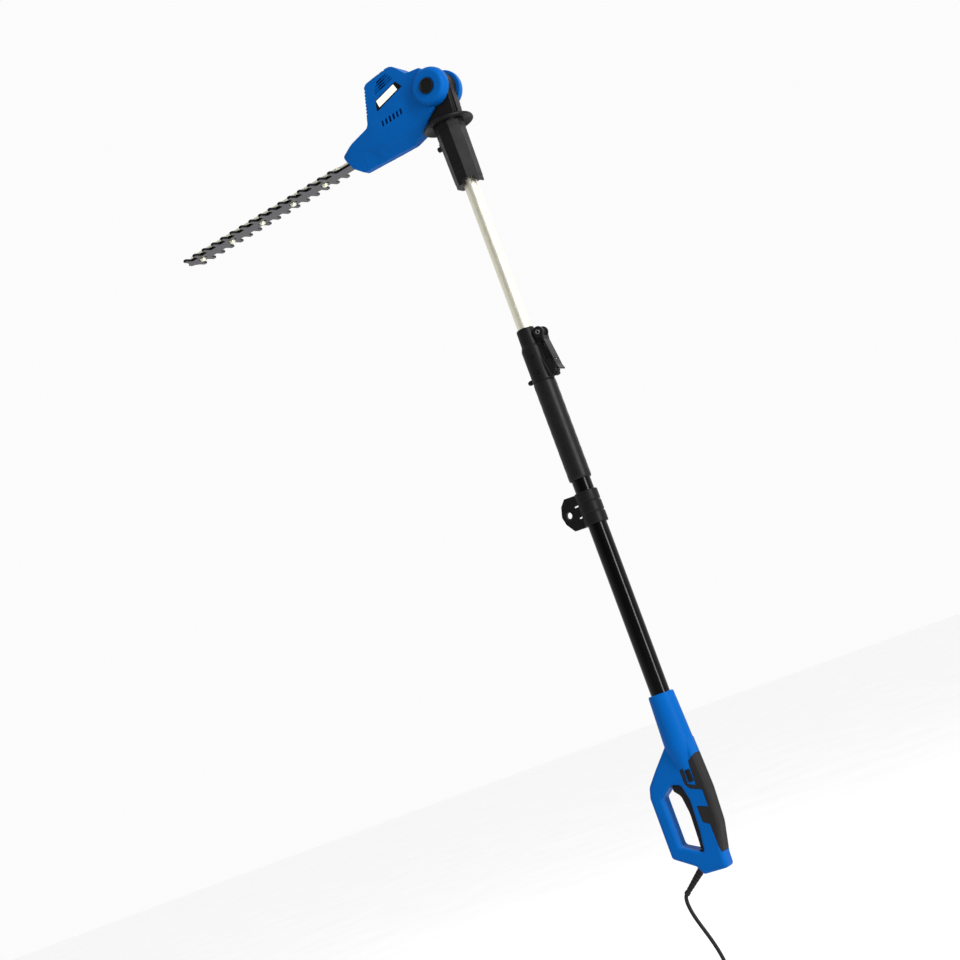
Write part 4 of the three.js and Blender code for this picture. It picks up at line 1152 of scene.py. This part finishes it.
HANDLE_SCREWS = [(-58, -642), (-75, -718), (-58, -780), (-6, -806), (-18, -620)]
LOCK_X, LOCK_Z = (0, 9), (-660, -639)
SKIN = 2.5  # thickness of the soft inlay over the grip's core
LIP_R = 4.5
TRIGGER_HALF = 10.5
TRIGGER_PIN_R = 2.3


def rounded_sections(points, half_width, crown):
    """Outlines for a loft whose two rims are quarter rounds."""
    sections = []
    for k in range(7):
        angle = math.radians(15 * k)
        depth = half_width - crown * (1 - math.sin(angle))
        sections.append((inset(points, crown * (1 - math.cos(angle))), depth))
    return [(shape, -depth) for shape, depth in reversed(sections)] + sections


def handle_body():
    sleeve = lathe([
        (0, -650), (16, -650), (22, -622), (26.4, -602), (26.9, -592), (26.2, -572),
        (23.9, SLEEVE_TOP - 14), (23.4, SLEEVE_TOP - 3), (22.9, SLEEVE_TOP - 0.9),
        (21.6, SLEEVE_TOP), (0, SLEEVE_TOP),
    ], "Z", segments=128)
    loop = loft("handle", rounded_sections(outline(LOOP, 12), GRIP_HALF, 7.5), "Y")
    hole = outline(FINGER_HOLE, 12)
    carve(loop, prism(hole, (-30, 30)))
    carve(loop, *[loft("lip", rounded_lip(hole, side), "Y") for side in SIDES])
    weld(loop, sleeve)
    return loop


def rounded_lip(points, side):
    """Sections of the tool that rounds an opening's rim."""
    sections = []
    for k in range(7):
        angle = math.radians(15 * k)
        depth = GRIP_HALF - LIP_R * (1 - math.sin(angle))
        sections.append((inset(points, -LIP_R * (1 - math.cos(angle))), side * depth))
    sections.append((inset(points, -LIP_R - 1), side * (GRIP_HALF + 1)))
    return sections


def handle_room():
    return [
        rod(17.8, (-604.3, 0), "Z", segments=128),
        block((-12, 12), (-9, 9), (-650, -590)),
        block((-2, 18), (-9, 9), (-712, -636)),
        block((-14, 6), (-9, 9), (-812, -700)),
        block((-34, -10), (-5, 5), (-807, -798)),
        rod(TRIGGER_PIN_R, (-14.3, 14.3), "Y", TRIGGER_PIVOT),
        prism(TRIGGER_ROOM, (-11, 11)),
        block((LOCK_X[0] - GAP, LOCK_X[1] + GAP), (-40, -9), (LOCK_Z[0] - GAP, LOCK_Z[1] + GAP)),
    ]


def gland_room():
    profile = [(0, -6.4), (9.8, -6.4), (9.8, -0.7), (7.8, -0.7), (7.8, 14), (0, 14)]
    return along_gland(lathe(profile, "Z", segments=48))


def add_rear_handle():
    body = handle_body()
    skin = linked("skin", body.data.copy())
    edge = outline(OVERMOULD_EDGE)
    core = outline(GRIP_CORE)
    core_half = GRIP_HALF - SKIN
    overlap(skin, prism(edge, (-THROUGH, THROUGH)))
    carve(
        skin,
        prism([(x + GAP, z) for x, z in core], (-core_half - GAP, core_half + GAP)),
        block((LOCK_X[0] - 1, LOCK_X[1] + 1), (-40, -9), (LOCK_Z[0] - 1, LOCK_Z[1] + 1)),
    )
    soften(skin, 0.6, 2)
    place(skin, "grip_overmould_soft", "base", SOFT, "soft_black", ["rear_grip_overmould"], 50)
    for shift in ((-GAP, 0), (GAP, 0), (0, -GAP), (0, GAP)):
        notch = prism([(x + shift[0], z + shift[1]) for x, z in edge], (-THROUGH, THROUGH))
        carve(notch, prism(core, (-core_half, core_half)))
        carve(body, notch)
    carve(body, *handle_room(), gland_room(), *screw_holes(HANDLE_SCREWS, 10.6, -7))
    soften(body, 0.75, 2)
    place_halves(body, "rear_handle_shell", "base", BLUE, "blue_casing")


def add_trigger():
    paddle_edge = outline([
        (-38.5, -657.5, 3), (-18, -661, 5), (-11, -690, 24), (-13, -735, 60), (-18.5, -780, 4),
        (-28, -780, 4), (-26, -762, 20), (-23.5, -712, 60), (-28, -679, 16), (-38.5, -668, 3),
    ], 10)
    paddle = loft("paddle", rounded_sections(paddle_edge, TRIGGER_HALF, 1.8), "Y")
    heights = [-690 - 9 * i for i in range(7)]
    grooves = [block((-40, -22.9), (-8, 8), (z, z + 1.3)) for z in heights]
    carve(paddle, rod(TRIGGER_PIN_R, (-20, 20), "Y", TRIGGER_PIVOT), *grooves)
    place(paddle, "trigger_paddle", "trigger", BLACK_FINE, "black_plastic", ["trigger"])
    button = block(LOCK_X, (-18.6, -9.6), LOCK_Z)
    bevelled(button, 1.1, 4)
    heights = [LOCK_Z[0] + 3.4 * (i + 1) for i in range(5)]
    carve(button, *[block((1.5, 7.5), (-20, -17.9), (z, z + 1.4)) for z in heights])
    place(button, "lock_button_ribbed", "lock_off", BLACK_FINE, "black_plastic", ["lock_off_button"])


# ---------------------------------------------------------------- inner parts and screws
def repaint_cad():
    numbered = {
        "handle_screw_": 5, "coupler_screw_": 3, "head_screw_": 4, "bar_screw_": 2, "clamp_screw_": 2,
    }
    for stem, count in numbered.items():
        repaint(DARK_SCREW, *[stem + str(i + 1) for i in range(count)])
    repaint(DARK_SCREW, "strap_bracket_screw")
    repaint(DARK_SCREW, "trigger_pin")
    repaint(ZINC, "pivot_bolt", "drive_gear")
    repaint(PLATE_METAL, "gear_plate")
    repaint(NYLON, "tube_guide_bush", "cord_clamp")
    # the motor can and rotor are painted matt black so the head's vents always show dark: painted shade
    # inside the head
    repaint(BLACK, "switch_body", "motor_can", "motor_rotor")


# ---------------------------------------------------------------- stage and light
FLOOR_R = 30
FLOOR_DROP = 0.03  # under the lowest point of the plug


def add_floor():
    material, tree, shader = new_material("pale_floor")
    colours = tinted(tree, noise(tree, 3, 4), (0.95, 0.95, 0.95), (0.98, 0.98, 0.98))
    tree.links.new(colours, shader.inputs["Base Color"])
    shader.inputs["Roughness"].default_value = 0.9
    shader.inputs["Specular IOR Level"].default_value = 0.1
    bm = bmesh.new()
    bmesh.ops.create_circle(bm, cap_ends=True, segments=96, radius=FLOOR_R)
    floor = from_bmesh("floor", bm)
    floor.location.z = CAD_BOUNDS[0][2] - FLOOR_DROP
    floor.data.materials.append(material)


def area_light(name, at, aim, size, energy):
    data = bpy.data.lights.new(name, "AREA")
    data.shape = "RECTANGLE"
    data.size, data.size_y = size
    data.energy = energy
    light = linked(name, data)
    light.location = at
    light.rotation_euler = (Vector(aim) - Vector(at)).to_track_quat("-Z", "Y").to_euler()


WORLD_LEVEL = 0.97
FRONT_LEVEL = 0.1  # what glossy surfaces mirror of the room in front of the tool
FRONT = (0.5, -0.86, 0)


def add_world():
    """A white studio whose front side is dark in reflections."""
    world = bpy.data.worlds.new("white_studio")
    world.use_nodes = True
    tree = world.node_tree
    tree.nodes["Background"].inputs["Color"].default_value = (1, 1, 1, 1)
    coords = tree.nodes.new("ShaderNodeTexCoord")
    toward_front = tree.nodes.new("ShaderNodeVectorMath")
    toward_front.operation = "DOT_PRODUCT"
    toward_front.inputs[1].default_value = FRONT
    tree.links.new(coords.outputs["Generated"], toward_front.inputs[0])
    mirrored = ranged(tree, toward_front.outputs["Value"], WORLD_LEVEL, FRONT_LEVEL, 0.0, 0.8)
    ray = tree.nodes.new("ShaderNodeLightPath")
    level = tree.nodes.new("ShaderNodeMix")
    level.inputs["A"].default_value = WORLD_LEVEL
    tree.links.new(ray.outputs["Is Glossy Ray"], level.inputs["Factor"])
    tree.links.new(mirrored, level.inputs["B"])
    tree.links.new(level.outputs["Result"], tree.nodes["Background"].inputs["Strength"])
    world.cycles.sampling_method = "NONE"
    bpy.context.scene.world = world


def add_lights():
    bpy.context.scene.view_settings.view_transform = "Standard"
    area_light("key", (2.7, -0.8, 0.9), (0, 0, 0.1), (0.42, 3.4), 150)
    area_light("back", (0.5, 3.0, 1.5), (0, 0, 0.2), (2.0, 2.0), 20)


add_head_shells()
add_head_trim()
add_blade("blade_upper", 1)
add_blade("blade_lower", -1)
add_guide_bar()
add_blade_bolts()
add_coupler()
add_tilt_button()
add_tubes()
add_foam()
add_coiled_lead()
add_strap_bracket()
add_clamp_collar()
add_clamp_lever()
add_clamp_trim()
add_rear_handle()
add_trigger()
repaint_cad()
add_floor()
add_world()
add_lights()
